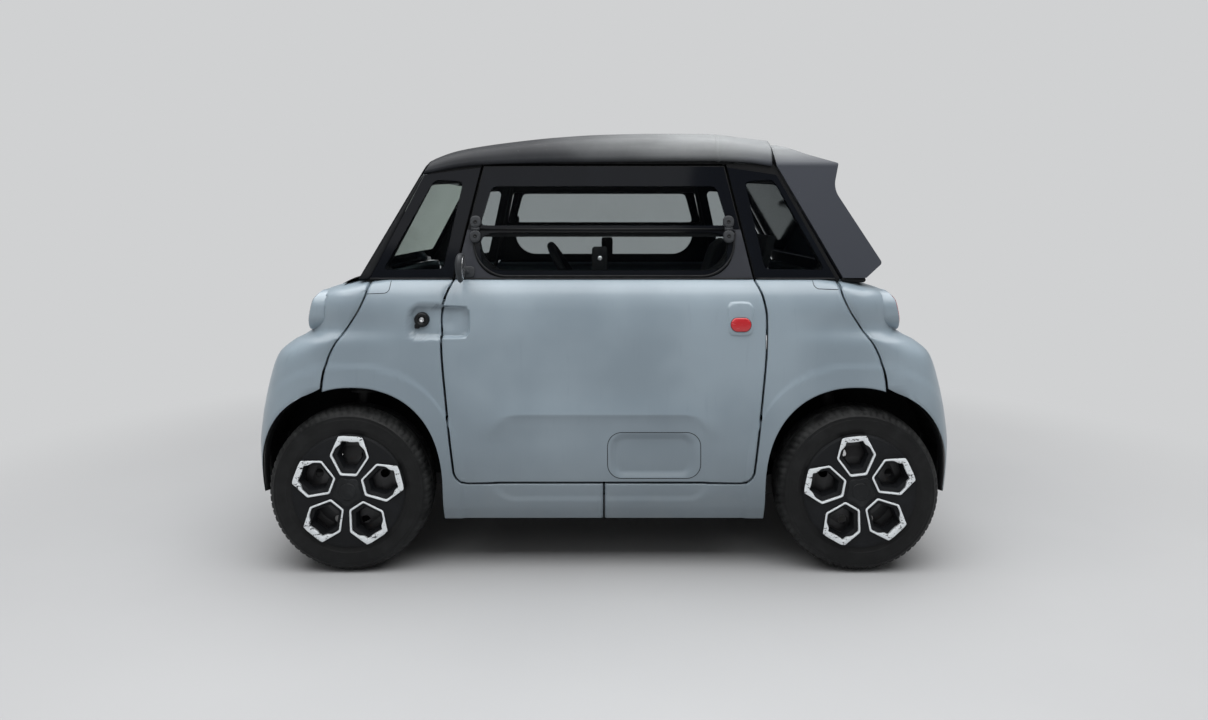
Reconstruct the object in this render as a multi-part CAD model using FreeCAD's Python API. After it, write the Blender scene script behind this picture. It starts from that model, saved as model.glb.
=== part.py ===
import FreeCAD, Part
import os
from math import cos, hypot, pi, radians, sin, sqrt

V = FreeCAD.Vector

# Driving dimensions of the car, in millimetres: front towards -X, left side towards -Y, up +Z
wheelbase = 1728.0
axle_x = wheelbase / 2
wheel_y = 610.0
tyre_radius = 278.5
tyre_width = 155.0
rim_radius = 177.8
cover_radius = 192.0
belt_z = 990.0
sill_z = 169.0
end_lip_z = 248.0
panel_wall = 26.0
door_wall = 45.0
seam_gap = 6.0
door_gap = 7.0
door_bottom_z = 306.0
door_top_z = 1384.0
corner_radius = 150.0
flare = 5.0
glass_thickness = 5.0
arch_half_width = 318.0
arch_height = 350.0
arch_power = 2.3
steer_axis_y = 560.0
ball_joint_z = 165.0
strut_top_y = 470.0
strut_top_z = 700.0

# Side view of either end panel: distance from the middle of the car, height
end_profile = [(1190, 165), (1199, 270), (1205, 420), (1196, 515), (1171, 645), (1142, 729),
               (1089, 775), (1050, 795), (1027, 814), (1017, 878), (1006, 925), (980, 950),
               (940, 964), (890, 979), (850, 990)]
# Front view of the lower body: half width, height
side_profile = [(633, 165), (663, 220), (680, 300), (688, 420), (690, 600), (687, 800),
                (681, 880), (671, 930), (657, 960), (636, 983), (624, 990)]
# Front view of the glazed upper body: half width at the belt and at the door's top
glass_low = (622.0, 992.0)
glass_high = (560.0, 1394.0)

# Side view of the windscreen, and of either end of the quarter windows
screen_low = (862.0, 966.0)
screen_high = (605.0, 1417.0)


def box(x0, x1, y0, y1, z0, z1):
    return Part.makeBox(x1 - x0, y1 - y0, z1 - z0, V(x0, y0, z0))


def across(sign, inner, outer, x0, x1, z0, z1):
    """A box between two distances from the middle plane, on the side that the sign gives."""
    low, high = sorted((sign * inner, sign * outer))
    return box(x0, x1, low, high, z0, z1)


def flip_x(shape):
    return shape.mirror(V(0, 0, 0), V(1, 0, 0))


def flip_y(shape):
    return shape.mirror(V(0, 0, 0), V(0, 1, 0))


def half_turn(shape):
    turned = shape.copy()
    turned.rotate(V(0, 0, 0), V(0, 0, 1), 180)
    return turned


def fuse_all(shapes):
    result = shapes[0]
    for shape in shapes[1:]:
        result = result.fuse(shape)
    return result.removeSplitter()


def biggest(shape):
    """The largest solid of a result, without slivers that a cut leaves."""
    return max(shape.Solids, key=lambda solid: solid.Volume)


def rounded_box(x0, x1, y0, y1, z0, z1, radius, axis):
    """A box whose four edges along one axis are rounded."""
    solid = box(x0, x1, y0, y1, z0, z1)
    edges = []
    for edge in solid.Edges:
        along = edge.tangentAt(edge.FirstParameter)
        if abs(along.dot(axis)) > 0.9:
            edges.append(edge)
    return solid.makeFillet(radius, edges)


def at_height(profile, z):
    """The profile's distance at a height, straight between its points."""
    if z <= profile[0][1]:
        return profile[0][0]
    for (a, low), (b, high) in zip(profile, profile[1:]):
        if z <= high:
            return a + (b - a) * (z - low) / (high - low)
    return profile[-1][0]


def inset(profile, thickness):
    """The profile moved inwards by a wall thickness, square to its own line."""
    moved = []
    last = len(profile) - 1
    for i, (a, z) in enumerate(profile):
        before = profile[max(i - 1, 0)]
        after = profile[min(i + 1, last)]
        along = (after[0] - before[0], after[1] - before[1])
        size = hypot(along[0], along[1])
        moved.append((a - thickness * along[1] / size, z + thickness * along[0] / size))
    return moved


def section(half_length, half_width, radius, z):
    """A level outline of the body: a rectangle with round corners."""
    a = half_length
    b = half_width
    c = radius * (1 - sqrt(0.5))
    corners = [(1, 1), (-1, 1), (-1, -1), (1, -1)]
    edges = []
    ends = []
    for i, (sx, sy) in enumerate(corners):
        side = V(sx * a, sy * (b - radius), z)
        top = V(sx * (a - radius), sy * b, z)
        middle = V(sx * (a - c), sy * (b - c), z)
        start, stop = (side, top) if i % 2 == 0 else (top, side)
        ends.append((start, stop))
        edges.append(Part.Arc(start, middle, stop).toShape())
    for i in range(4):
        edges.append(Part.LineSegment(ends[i][1], ends[(i + 1) % 4][0]).toShape())
    order = [edges[0], edges[4], edges[1], edges[5], edges[2], edges[6], edges[3], edges[7]]
    return Part.Wire(order)


def body_form(wall, stand_out=0.0):
    """The solid inside the body's skin, moved in by a wall or out by a flare."""
    if wall:
        ends = inset(end_profile, wall)
        sides = inset(side_profile, wall)
        ends[0] = (ends[0][0], 150.0)
        ends.append((ends[-1][0] - 10, 1010.0))
    else:
        ends = end_profile
        sides = side_profile
    levels = sorted(set([z for a, z in ends]))
    wires = []
    for z in levels:
        half_length = at_height(ends, z)
        half_width = at_height(sides, z) + stand_out
        wires.append(section(half_length, half_width, corner_radius - wall, z))
    return Part.makeLoft(wires, True, True)


def outline_edges(corners, to_point):
    """Edges round an outline; a corner's third value is the radius that rounds it."""
    stops = []
    count = len(corners)
    for i, corner in enumerate(corners):
        point = to_point(corner[0], corner[1])
        if len(corner) < 3:
            stops.append((point, None, point))
            continue
        before = (to_point(*corners[i - 1][:2]) - point).normalize()
        after = (to_point(*corners[(i + 1) % count][:2]) - point).normalize()
        half = before.getAngle(after) / 2
        reach = corner[2] * cos(half) / sin(half)
        inward = (before + after).normalize() * (corner[2] / sin(half) - corner[2])
        stops.append((point + before * reach, point + inward, point + after * reach))
    edges = []
    for i, (start, middle, stop) in enumerate(stops):
        if middle is not None:
            edges.append(Part.Arc(start, middle, stop).toShape())
        following = stops[(i + 1) % count][0]
        if (following - stop).Length > 0.01:
            edges.append(Part.LineSegment(stop, following).toShape())
    return edges


def side_prism(corners, y0, y1):
    """A side view outline with rounded corners, carried across the car."""
    edges = outline_edges(corners, lambda x, z: V(x, y0, z))
    return Part.Face(Part.Wire(edges)).extrude(V(0, y1 - y0, 0))


def front_prism(corners, x0, x1):
    """A front view outline with rounded corners, carried along the car."""
    edges = outline_edges(corners, lambda y, z: V(x0, y, z))
    return Part.Face(Part.Wire(edges)).extrude(V(x1 - x0, 0, 0))


def spline(points):
    curve = Part.BSplineCurve()
    curve.interpolate(points)
    return curve.toShape()


def arch_prism(centre, half_width, height, y0, y1):
    """A wheel arch: half a superellipse above the axle with straight sides below it."""
    points = []
    steps = 12
    for i in range(steps + 1):
        angle = pi * i / steps
        across = cos(angle)
        share = abs(across) ** (2 / arch_power)
        x = centre + half_width * (share if across > 0 else -share)
        z = tyre_radius + height * sin(angle) ** (2 / arch_power) if 0 < i < steps else tyre_radius
        points.append(V(x, y0, z))
    low_left = V(centre - half_width, y0, 100)
    low_right = V(centre + half_width, y0, 100)
    edges = [spline(points)]
    edges.append(Part.LineSegment(points[-1], low_left).toShape())
    edges.append(Part.LineSegment(low_left, low_right).toShape())
    edges.append(Part.LineSegment(low_right, points[0]).toShape())
    return Part.Face(Part.Wire(edges)).extrude(V(0, y1 - y0, 0))


door_edge = [(514, belt_z), (538, 930), (548, 865), (547, 780), (531, 580), (513, 410), (506, 352)]
door_top_half = 424.0


def door_prism(grow, y0, y1):
    """The door's side view outline, grown by a gap, carried across the car."""
    top = door_top_z + grow
    bottom = door_bottom_z - grow
    edges = []
    right = [V(x + grow, y0, z) for x, z in door_edge]
    left = [V(-p.x, y0, p.z) for p in reversed(right)]
    high = V(door_top_half + grow, y0, top)
    low = V(462, y0, bottom)
    turn = V(494 + 0.9 * grow, y0, 319 - 0.8 * grow)
    edges.append(Part.LineSegment(V(-high.x, y0, top), high).toShape())
    edges.append(Part.LineSegment(high, right[0]).toShape())
    edges.append(spline(right))
    edges.append(Part.Arc(right[-1], turn, low).toShape())
    edges.append(Part.LineSegment(low, V(-low.x, y0, bottom)).toShape())
    edges.append(Part.Arc(V(-low.x, y0, bottom), V(-turn.x, y0, turn.z), left[0]).toShape())
    edges.append(spline(left))
    edges.append(Part.LineSegment(left[-1], V(-high.x, y0, top)).toShape())
    return Part.Face(Part.Wire(edges)).extrude(V(0, y1 - y0, 0))


seam_line = [(805, 1000), (811, 946), (832, 891), (868, 835), (913, 770), (936, 717), (952, 640),
             (955, 590)]


def end_region(side, gap):
    """The space of one end panel: all that lies past its seam, less a gap."""
    points = [V(side * (x + gap), -800, z) for x, z in seam_line]
    outer = side * 1400
    edges = [spline(points)]
    ring = [points[-1], V(points[-1].x, -800, 50), V(outer, -800, 50), V(outer, -800, 1000), points[0]]
    for start, stop in zip(ring, ring[1:]):
        edges.append(Part.LineSegment(start, stop).toShape())
    return Part.Face(Part.Wire(edges)).extrude(V(0, 1600, 0))


def glass_half(z):
    """Half width of the glazed upper body at a height."""
    slope = (glass_low[0] - glass_high[0]) / (glass_high[1] - glass_low[1])
    return glass_low[0] - slope * (z - glass_low[1])


def side_slab(outer, inner, z0, z1):
    """A leaning slab inside the left side's glass plane, between two depths."""
    corners = []
    for depth, z in [(outer, z0), (outer, z1), (inner, z1), (inner, z0)]:
        corners.append((-glass_half(z) + depth, z))
    return front_prism(corners, -1000, 1000)


def skin():
    """The wall of the lower body, with the flares over the arches."""
    outer = body_form(0)
    raised = body_form(0, flare)
    for side in (-1, 1):
        crease = arch_prism(side * axle_x, 385, 426, -800, 800)
        outer = outer.fuse(raised.common(crease))
    wall = outer.cut(body_form(panel_wall))
    for side in (-1, 1):
        for across in (-1, 1):
            near, far = sorted((across * 430, across * 800))
            wall = wall.cut(arch_prism(side * axle_x, arch_half_width, arch_height, near, far))
        near, far = sorted((side * 546, side * 1300))
        wall = wall.cut(box(near, far, -800, 800, 100, end_lip_z))
    return wall.cut(box(-1300, 1300, -800, 800, 100, sill_z))


pod_low_z = 812.0
pod_high_z = 950.0
pod_inner_y = 425.0
pod_outer_y = 640.0


pod_wall = 8.0


def lamp_pod(side, across, grow, back, sunk):
    """A squared-off round pod at one corner, from a depth to its leaning face, which may be sunk."""
    near, far = sorted((side * back, side * 1045))
    low, high = sorted((across * (pod_inner_y - grow), across * (pod_outer_y + grow)))
    pod = rounded_box(near, far, low, high, pod_low_z - grow, pod_high_z + grow, 60 + grow, V(1, 0, 0))
    face = [(1029, 800), (1021, 850), (1008, 920), (985, 955), (1100, 955), (1100, 800)]
    ahead = side_prism([(side * (x - sunk if x < 1100 else x), z) for x, z in face], -700, 700)
    return biggest(pod.cut(ahead))


def lamp_bore(side, across):
    """The space that a pod's housing leaves for its lamp."""
    near, far = sorted((side * 880, side * 1060))
    low, high = sorted((across * (pod_inner_y + pod_wall), across * (pod_outer_y - pod_wall)))
    return rounded_box(near, far, low, high, pod_low_z + pod_wall, pod_high_z - pod_wall, 60 - pod_wall,
                       V(1, 0, 0))


recess_z = (797.0, 900.0)
recess_x = (457.0, 659.0)


def recess(depth, x0, x1, z0, z1, radius):
    """What a shallow recess takes out of the left side's skin."""
    hollow = side_prism([(x0, z0, radius), (x1, z0, radius), (x1, z1, radius), (x0, z1, radius)], -800, -400)
    layer = body_form(0, 12).cut(body_form(depth))
    return hollow.common(layer)


def body_panels():
    """The two end panels and the four side panels."""
    wall = skin()
    names = {-1: "front", 1: "rear"}
    handle = recess(22, -recess_x[1], -recess_x[0], recess_z[0], recess_z[1], 30)
    for side in (-1, 1):
        end = wall.common(end_region(side, seam_gap / 2))
        for across in (-1, 1):
            end = end.fuse(lamp_pod(side, across, 0, 905, 6)).cut(lamp_bore(side, across))
        save(names[side] + "_end_panel", biggest(end))
        rest = wall.cut(end_region(side, -seam_gap / 2)).cut(door_prism(door_gap, -900, 900))
        near, far = sorted((side * seam_gap / 2, side * 1000))
        left = rest.common(box(near, far, -800, -500, 100, 1000))
        left = left.cut(handle)
        save("side_panel_" + names[side] + "_left", biggest(left))
        save("side_panel_" + names[-side] + "_right", half_turn(biggest(left)))
    for side, name in ((-1, "head_lamps"), (1, "tail_lamps")):
        lamps = [lamp_pod(side, across, -pod_wall - 1.5, 925, 0) for across in (-1, 1)]
        save(name, Part.makeCompound(lamps))


def save(name, shape):
    shape.exportStep("parts/" + name + ".step")
    print(name, len(shape.Solids), "solids", round(shape.Volume / 1e6, 2), "litres", shape.isValid())


def door_lower():
    """The left door's moulded panel, with its handle recess, capsule recess and button boss."""
    lower = body_form(0).cut(body_form(door_wall))
    boss = side_prism([(420, 805, 20), (504, 805, 20), (504, 915, 42), (420, 915, 42)], -800, -500)
    button = boss.common(body_form(0, flare).cut(body_form(panel_wall)))
    lower = lower.fuse(button).common(door_prism(0, -900, -500))
    for hollow in (recess(22, -recess_x[1], -recess_x[0], recess_z[0], recess_z[1], 30),
                   recess(18, 47, 272, 342, 448, 40)):
        lower = lower.cut(hollow)
    return biggest(lower)


def door_frame():
    """The left door's window frame, standing inside the panel's upper edge."""
    frame = side_slab(glass_thickness + 0.5, 34, belt_z + 0.3, door_top_z)
    corner_trim = side_slab(0, 34, belt_z + 0.3, window_bar_z)
    frame = frame.fuse(corner_trim).common(door_prism(0, -900, -400))
    frame = frame.cut(side_prism(lower_pane(2.0), -900, -400).common(side_slab(-1, 6.0, 900, 1400)))
    for opening in (lower_pane(-22), upper_clear):
        frame = frame.cut(side_prism(opening, -900, -400))
    return biggest(frame)


window_bar_z = 1160.0
upper_clear = [(-468, window_bar_z + 14, 12), (468, window_bar_z + 14, 12), (438, 1320, 25),
               (-438, 1320, 25)]


def lower_pane(grow):
    """The flap window's outline, its lower corners well rounded."""
    bottom = 997 - grow
    top = window_bar_z - 3 + grow
    return [(-432 - grow, bottom, 100), (432 + grow, bottom, 100), (458 + grow, top, 12),
            (-458 - grow, top, 12)]


def door_windows():
    """The fixed upper pane and the flap below it, flush on the frame."""
    outline = door_prism(-3, -900, -400)
    upper = side_slab(0, glass_thickness, window_bar_z + 3, door_top_z - 3).common(outline)
    flap = side_slab(0, glass_thickness, belt_z, window_bar_z).common(side_prism(lower_pane(0), -900, -400))
    return Part.makeCompound([biggest(upper), biggest(flap)])


def door_fittings():
    """Hinge blocks at the flap's upper corners, the latch tab under its middle, the red button."""
    solids = []
    for x0, x1 in ((-466, -428), (414, 452)):
        block = side_prism([(x0, 1114, 6), (x1, 1114, 6), (x1, 1207, 6), (x0, 1207, 6)], -900, -400)
        solids.append(biggest(block.common(side_slab(-12, -0.3, 1000, 1300))))
    tab = side_prism([(-43, 1021, 8), (14, 1021, 8), (10, 1100, 20), (-39, 1100, 20)], -900, -400)
    solids.append(biggest(tab.common(side_slab(glass_thickness + 0.3, 22, 990, 1200))))
    oval = side_prism([(428, 818, 22), (496, 818, 22), (496, 864, 22), (428, 864, 22)], -900, -500)
    solids.append(biggest(oval.common(body_form(0, flare + 4).cut(body_form(0, flare + 0.3)))))
    return Part.makeCompound(solids)


def door_mirror():
    """The mirror leaf on its foot at the window's front lower corner."""
    foot = box(-492, -462, -658, -610, 1000, 1030).cut(side_slab(-0.3, 60, 990, 1100))
    leaf = rounded_box(-500, -466, -745, -640, 985, 1080, 14, V(0, 1, 0))
    return foot.fuse(leaf).removeSplitter()


def quarter_glass_outline(low, high):
    """A front quarter window, between the screen pillar's two ends and the door gap."""
    gap = door_gap + 3
    return [(-low, 992), (-door_edge[0][0] - gap, 992), (-door_top_half - gap, 1378), (-high, 1352)]


quarter_clear = [(-760, 1019, 18), (-560, 1022, 18), (-490, 1325, 18), (-612, 1318, 18)]


def cabin_frame():
    """The pillars and rails behind the glass, one welded frame."""
    slab = side_slab(glass_thickness + 0.5, 44, belt_z + 0.3, 1392)
    ring = [(-826, belt_z), (816, belt_z), (597, 1392), (-602, 1392)]
    side = slab.common(side_prism(ring, -900, -400)).cut(door_prism(door_gap, -900, -400))
    pillars = [piece for piece in side.Solids if piece.Volume > 1000]
    parts = []
    for piece in pillars:
        for sign in (-1, 1):
            clear = side_prism([(-sign * x, z, r) for x, z, r in quarter_clear[::sign]], -900, -400)
            piece = piece.cut(clear)
        parts.append(piece)
    parts.append(box(-594, 588, -521, -486, 1366, 1390))
    half = parts + [flip_y(piece) for piece in parts]
    for x in (-594, 552):
        half.append(box(x, x + 36, -500, 500, 1366, 1390))
    return biggest(fuse_all(half).cut(roof_panel()))


def quarter_windows():
    panes = []
    slab = side_slab(0, glass_thickness, belt_z, 1392)
    front = slab.common(side_prism(quarter_glass_outline(808, 631), -900, -400))
    rear = flip_x(slab.common(side_prism(quarter_glass_outline(799, 606), -900, -400)))
    for piece in (biggest(front), biggest(rear)):
        panes.append(piece)
        panes.append(flip_y(piece))
    return Part.makeCompound(panes)


def screen_slope(z):
    """How far ahead of the middle the screen's side edge stands at a height."""
    share = (z - screen_low[1]) / (screen_high[1] - screen_low[1])
    return screen_low[0] + share * (screen_high[0] - screen_low[0])


def bowed_slab(front, back, z0, z1, bow):
    """A slab bowed forwards in plan, leaning as the windscreen does."""
    reach = 640.0
    x0 = -screen_slope(z0)
    stops = []
    for depth in (front, back):
        stops.append((V(x0 + depth, -reach, z0), V(x0 + depth - bow, 0, z0), V(x0 + depth, reach, z0)))
    outer, inner = stops
    edges = [Part.Arc(*outer).toShape(), Part.LineSegment(outer[2], inner[2]).toShape(),
             Part.Arc(*inner).toShape(), Part.LineSegment(inner[0], outer[0]).toShape()]
    lean = V(screen_slope(z0) - screen_slope(z1), 0, z1 - z0)
    return Part.Face(Part.Wire(edges)).extrude(lean)


screen_bow = 24.0


def windscreen():
    low, high = 990.5, 1408.0
    width = [(-glass_half(low) + 3, low), (glass_half(low) - 3, low), (glass_half(high) - 3, high),
             (-glass_half(high) + 3, high)]
    pane = bowed_slab(0, glass_thickness + 1, low, high, screen_bow)
    return biggest(pane.common(front_prism(width, -1000, -500)))


# Side view of the roof: distance along the car, height of the crown, height of the side edge
roof_stations = [(-650, 1403, 1357), (-600, 1430, 1366), (-540, 1453, 1378), (-460, 1470, 1389),
                 (-340, 1489, 1394), (-180, 1508, 1398), (0, 1520, 1400), (200, 1524, 1402),
                 (380, 1523, 1403), (410, 1519, 1403), (500, 1508, 1399), (592, 1498, 1386)]
roof_drops = [(0, 0), (250, 0.03), (450, 0.14), (530, 0.36), (560, 0.66), (569, 1)]


def roof_form(wall, lift):
    """A lofted cap whose sections drop from the crown to the roof's side edge."""
    wires = []
    for x, crown, edge in roof_stations:
        crown = crown - wall
        depth = crown - edge
        right = [V(x, y * (1 - wall / 569.0), crown - drop * depth) for y, drop in roof_drops]
        left = [V(x, -p.y, p.z) for p in reversed(right[1:])]
        low = [V(x, right[-1].y, edge - lift), V(x, -right[-1].y, edge - lift)]
        edges = [spline(left + right)]
        if lift:
            edges.append(Part.LineSegment(right[-1], low[0]).toShape())
            edges.append(Part.LineSegment(low[0], low[1]).toShape())
            edges.append(Part.LineSegment(low[1], left[0]).toShape())
        else:
            edges.append(Part.LineSegment(right[-1], left[0]).toShape())
        wires.append(Part.Wire(edges))
    return Part.makeLoft(wires, True, True)


def roof_panel():
    cap = roof_form(0, 0).cut(roof_form(20, 30))
    cap = cap.cut(bowed_slab(-400, glass_thickness + 1.5, 1300, 1600, screen_bow))
    return biggest(cap)


surround_side = [(598, 1470), (663, 1451, 60), (722, 1427, 60), (826, 1394, 5), (805, 1303, 80),
                 (963, 1045, 12), (905, 994, 4), (826, 994), (608, 1386)]


def rear_surround():
    """The moulded frame round the rear window, with a fin down each side."""
    outer = [(-626, 980), (626, 980), (564, 1392, 30), (500, 1462, 60), (0, 1486), (-500, 1462, 60),
             (-564, 1392, 30)]
    hole = [(-572, 1042, 40), (572, 1042, 40), (522, 1372, 40), (-522, 1372, 40)]
    frame = side_prism(surround_side, -700, 700).common(front_prism(outer, 500, 1100))
    return biggest(frame.cut(front_prism(hole, 500, 1100)))


def rear_window():
    """The rear pane, leaning inside the surround."""
    hole = [(-570, 1044, 38), (570, 1044, 38), (520, 1370, 38), (-520, 1370, 38)]
    slope = (824 - 606) / (1386 - 994)
    corners = []
    for x0, z in ((700, 1000), (700, 1400)):
        corners.append((836 - slope * (z - 994), z))
    corners = corners + [(corners[1][0] + glass_thickness, 1400), (corners[0][0] + glass_thickness, 1000)]
    return biggest(side_prism(corners, -700, 700).common(front_prism(hole, 500, 1100)))


def cabin():
    door = door_lower()
    frame = door_frame()
    panes = door_windows()
    fittings = door_fittings()
    mirror = door_mirror()
    save("door_panel_left", door)
    save("door_panel_right", half_turn(door))
    save("door_frame_left", frame)
    save("door_frame_right", half_turn(frame))
    save("door_windows_left", panes)
    save("door_windows_right", half_turn(panes))
    save("door_fittings_left", fittings)
    save("door_fittings_right", half_turn(fittings))
    save("door_mirror_left", mirror)
    save("door_mirror_right", flip_y(mirror))
    save("cabin_frame", cabin_frame())
    save("quarter_windows", quarter_windows())
    save("windscreen", windscreen())
    save("roof_panel", roof_panel())
    save("rear_window_surround", rear_surround())
    save("rear_window", rear_window())


def revolve_y(corners):
    """A (radius, y) outline turned about the wheel's axis."""
    edges = outline_edges(corners, lambda r, y: V(r, y, 0))
    return Part.Face(Part.Wire(edges)).revolve(V(0, 0, 0), V(0, 1, 0), 360)


def tyre():
    half = tyre_width / 2
    outline = [(rim_radius + 1.5, -58), (210, -75), (232, -half), (258, -71), (272, -54),
               (tyre_radius, -12), (tyre_radius, 12), (272, 54), (258, 71), (232, half), (210, 75),
               (rim_radius + 1.5, 58)]
    return revolve_y(outline)


def cylinder_y(radius, y0, y1, x=0.0, z=0.0):
    return Part.makeCylinder(radius, y1 - y0, V(x, y0, z), V(0, 1, 0))


def steel_rim():
    """A pressed steel wheel: the barrel, a dished disc with vents, and the brake drum behind it."""
    barrel = [(182, -69), (182, -63), (176, -60), (169, -42), (169, 42), (176, 60), (182, 63),
              (182, 69), (174, 67), (164, 44), (164, -44), (174, -67)]
    disc = [(32, -30), (105, -30), (140, -20), (166, -20), (166, -15), (138, -15), (103, -25), (32, -25)]
    drum = [(24, -25), (96, -25), (96, 18), (90, 18), (90, -18), (24, -18)]
    wheel = fuse_all([revolve_y(barrel), revolve_y(disc), revolve_y(drum)])
    for i in range(8):
        angle = 2 * pi * (i + 0.5) / 8
        wheel = wheel.cut(cylinder_y(15, -40, -10, 122 * cos(angle), 122 * sin(angle)))
    return biggest(wheel)


tunnel_corners = [(58, -26), (58, 26), (119, 62), (184, 38), (184, -38), (119, -62)]
tunnel_middle = 121.0


def tunnel_wire(scale, grow, y, angle):
    """One irregular hexagon of the wheel cover, scaled about its own middle."""
    def place(radial, across):
        return V(radial * cos(angle) - across * sin(angle), y, radial * sin(angle) + across * cos(angle))
    corners = []
    for radial, across in tunnel_corners:
        size = hypot(radial - tunnel_middle, across)
        share = scale * (size + grow) / size
        corners.append((tunnel_middle + share * (radial - tunnel_middle), share * across, 9 * scale))
    return Part.Wire(outline_edges(corners, place))


# The tunnels' narrowing: scale of the hexagon, then its distance outward from the wheel's middle
tunnel_stages = [(1.0, -77.0), (0.74, -71.0), (0.62, -44.0)]


def wheel_cover(first_angle):
    """The domed cover: five hexagonal tunnels that taper inwards, each with a raised rim."""
    dome = [(0, -82), (70, -82), (150, -80), (184, -77, 6), (cover_radius, -73), (cover_radius, -70.5),
            (180, -70.5), (150, -75), (70, -77), (0, -77)]
    clip = [(158, -77), (158, -52), (162, -52), (162, -77)]
    cover = revolve_y(dome).fuse(revolve_y(clip))
    mouth, waist, end = tunnel_stages
    for i in range(5):
        angle = radians(first_angle + 72 * i)
        lip = Part.Face(tunnel_wire(1, 6, -74, angle)).extrude(V(0, -9, 0))
        cover = cover.fuse(lip)
        for wide, narrow in ((mouth, waist), (waist, end)):
            jacket = [tunnel_wire(scale, 3, y, angle) for scale, y in (wide, narrow)]
            cover = cover.fuse(Part.makeLoft(jacket, True, True))
        cover = cover.cut(Part.Face(tunnel_wire(1, 0, -90, angle)).extrude(V(0, 90 + mouth[1], 0)))
        for wide, narrow in ((mouth, waist), (waist, end)):
            bore = [tunnel_wire(scale, 0, y, angle) for scale, y in (wide, narrow)]
            cover = cover.cut(Part.makeLoft(bore, True, True))
    return biggest(cover)


def placed(shape, x, y, z):
    moved = shape.copy()
    moved.translate(V(x, y, z))
    return moved


def wheels():
    ring = tyre()
    rim = steel_rim()
    for name, side, first_angle in (("front", -1, 87.0), ("rear", 1, 96.5)):
        cover = wheel_cover(first_angle)
        for piece_name, piece in (("tyre", ring), ("rim", rim), ("wheel_cover", cover)):
            label = piece_name + "_" + name
            save(label + "_left", placed(piece, side * axle_x, -wheel_y, tyre_radius))
            save(label + "_right", placed(half_turn(piece), side * axle_x, wheel_y, tyre_radius))


def rod(start, stop, radius):
    return Part.makeCylinder(radius, (stop - start).Length, start, stop - start)


def knuckle():
    """Left upright with its strut: the strut's axis is the steering axis."""
    foot = V(-axle_x, -steer_axis_y, ball_joint_z)
    head = V(-axle_x, -strut_top_y, strut_top_z)
    upright = [(-584, 171), (-540, 171), (-528, 300), (-500, 345), (-494, 424), (-540, 424),
               (-552, 345), (-584, 310)]
    body = front_prism(upright, -axle_x - 20, -axle_x + 20)
    stub = cylinder_y(20, -622, -560, -axle_x, tyre_radius)
    plate = cylinder_y(84, -586, -582, -axle_x, tyre_radius)
    arm = box(-axle_x, -axle_x + rack_reach + 12, -562, -540, 286, 302)
    along = (head - foot).normalize()
    tube = rod(foot + along * 240, foot + along * 415, 20)
    shaft = rod(foot + along * 410, head - along * 6, 11)
    bellows = [shaft, rod(foot + along * 413, foot + along * 420, 44)]
    for i in range(4):
        bellows.append(rod(foot + along * (424 + 28 * i), foot + along * (438 + 28 * i), 40))
        bellows.append(rod(foot + along * (418 + 28 * i), foot + along * (446 + 28 * i), 31))
    return fuse_all([body, stub, plate, arm, tube] + bellows)


rack_reach = 100.0
rack_z = 266.0


def steering_rack():
    """The rack bar and its track rods, with an eye below the end of each knuckle arm."""
    x = -axle_x + rack_reach
    bar = cylinder_y(8, -548, 548, x, rack_z)
    eyes = [Part.makeCylinder(13, 12, V(x, sign * 550, rack_z - 6)) for sign in (-1, 1)]
    return fuse_all([bar] + eyes)


def rack_housing():
    """The tube that the rack slides in, on two brackets from the cross member."""
    x = -axle_x + rack_reach
    tube = cylinder_y(21, -170, 170, x, rack_z)
    brackets = [box(x - 6, -640, y, y + 30, 245, 250) for y in (-130, 100)]
    return fuse_all([tube] + brackets).cut(cylinder_y(11, -180, 180, x, rack_z))


def suspension_arms():
    """Two lower wishbones with their ball pins, the half shafts and the steering rack's housing."""
    solids = []
    outer = [(-1014, -300), (-890, -585), (-838, -585), (-714, -300)]
    inner = [(-950, -322), (-872, -510), (-856, -510), (-778, -322)]
    for corners in (outer, inner):
        edges = outline_edges(corners, lambda x, y: V(x, y, 138))
        solids.append(Part.Face(Part.Wire(edges)).extrude(V(0, 0, 20)))
    wishbone = solids[0].cut(solids[1])
    pin = rod(V(-axle_x, -steer_axis_y, 150), V(-axle_x, -steer_axis_y, ball_joint_z - 3), 12)
    left = wishbone.fuse(pin)
    for x in (-992, -736):
        left = left.fuse(box(x - 20, x + 20, -352, -300, 138, 200))
    left = left.removeSplitter()
    shaft = cylinder_y(13, -512, -190, -axle_x, tyre_radius)
    joint = cylinder_y(34, -512, -455, -axle_x, tyre_radius)
    half_shaft = shaft.fuse(joint).removeSplitter()
    return Part.makeCompound([left, flip_y(left), half_shaft, flip_y(half_shaft), rack_housing()])


def rear_axle():
    """A twist beam: two trailing arms, the cross tube, stub axles and dampers."""
    parts = [box(700, 760, -470, 470, 256, 306)]
    for sign in (-1, 1):
        low, high = sorted((sign * 450, sign * 490))
        arm = side_prism([(540, 212, 15), (590, 205), (905, 240, 30), (905, 316, 30), (700, 308),
                          (540, 258, 15)], low, high)
        near, far = sorted((sign * 470, sign * 622))
        stub = cylinder_y(20, near, far, axle_x, tyre_radius)
        near, far = sorted((sign * 582, sign * 586))
        plate = cylinder_y(84, near, far, axle_x, tyre_radius)
        near, far = sorted((sign * 488, sign * 582))
        boss = cylinder_y(34, near, far, axle_x, tyre_radius)
        damper = rod(V(850, sign * 425, 262), V(815, sign * 425, 600), 24)
        rod_end = rod(V(820, sign * 425, 560), V(806, sign * 425, 688), 11)
        low, high = sorted((sign * 405, sign * 470))
        foot = box(826, 876, low, high, 245, 275)
        parts.extend([arm, stub, plate, boss, damper, rod_end, foot])
    return fuse_all(parts)


rail_y = 330.0
jack_z = 164.0
floor_z = 250.0


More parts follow.
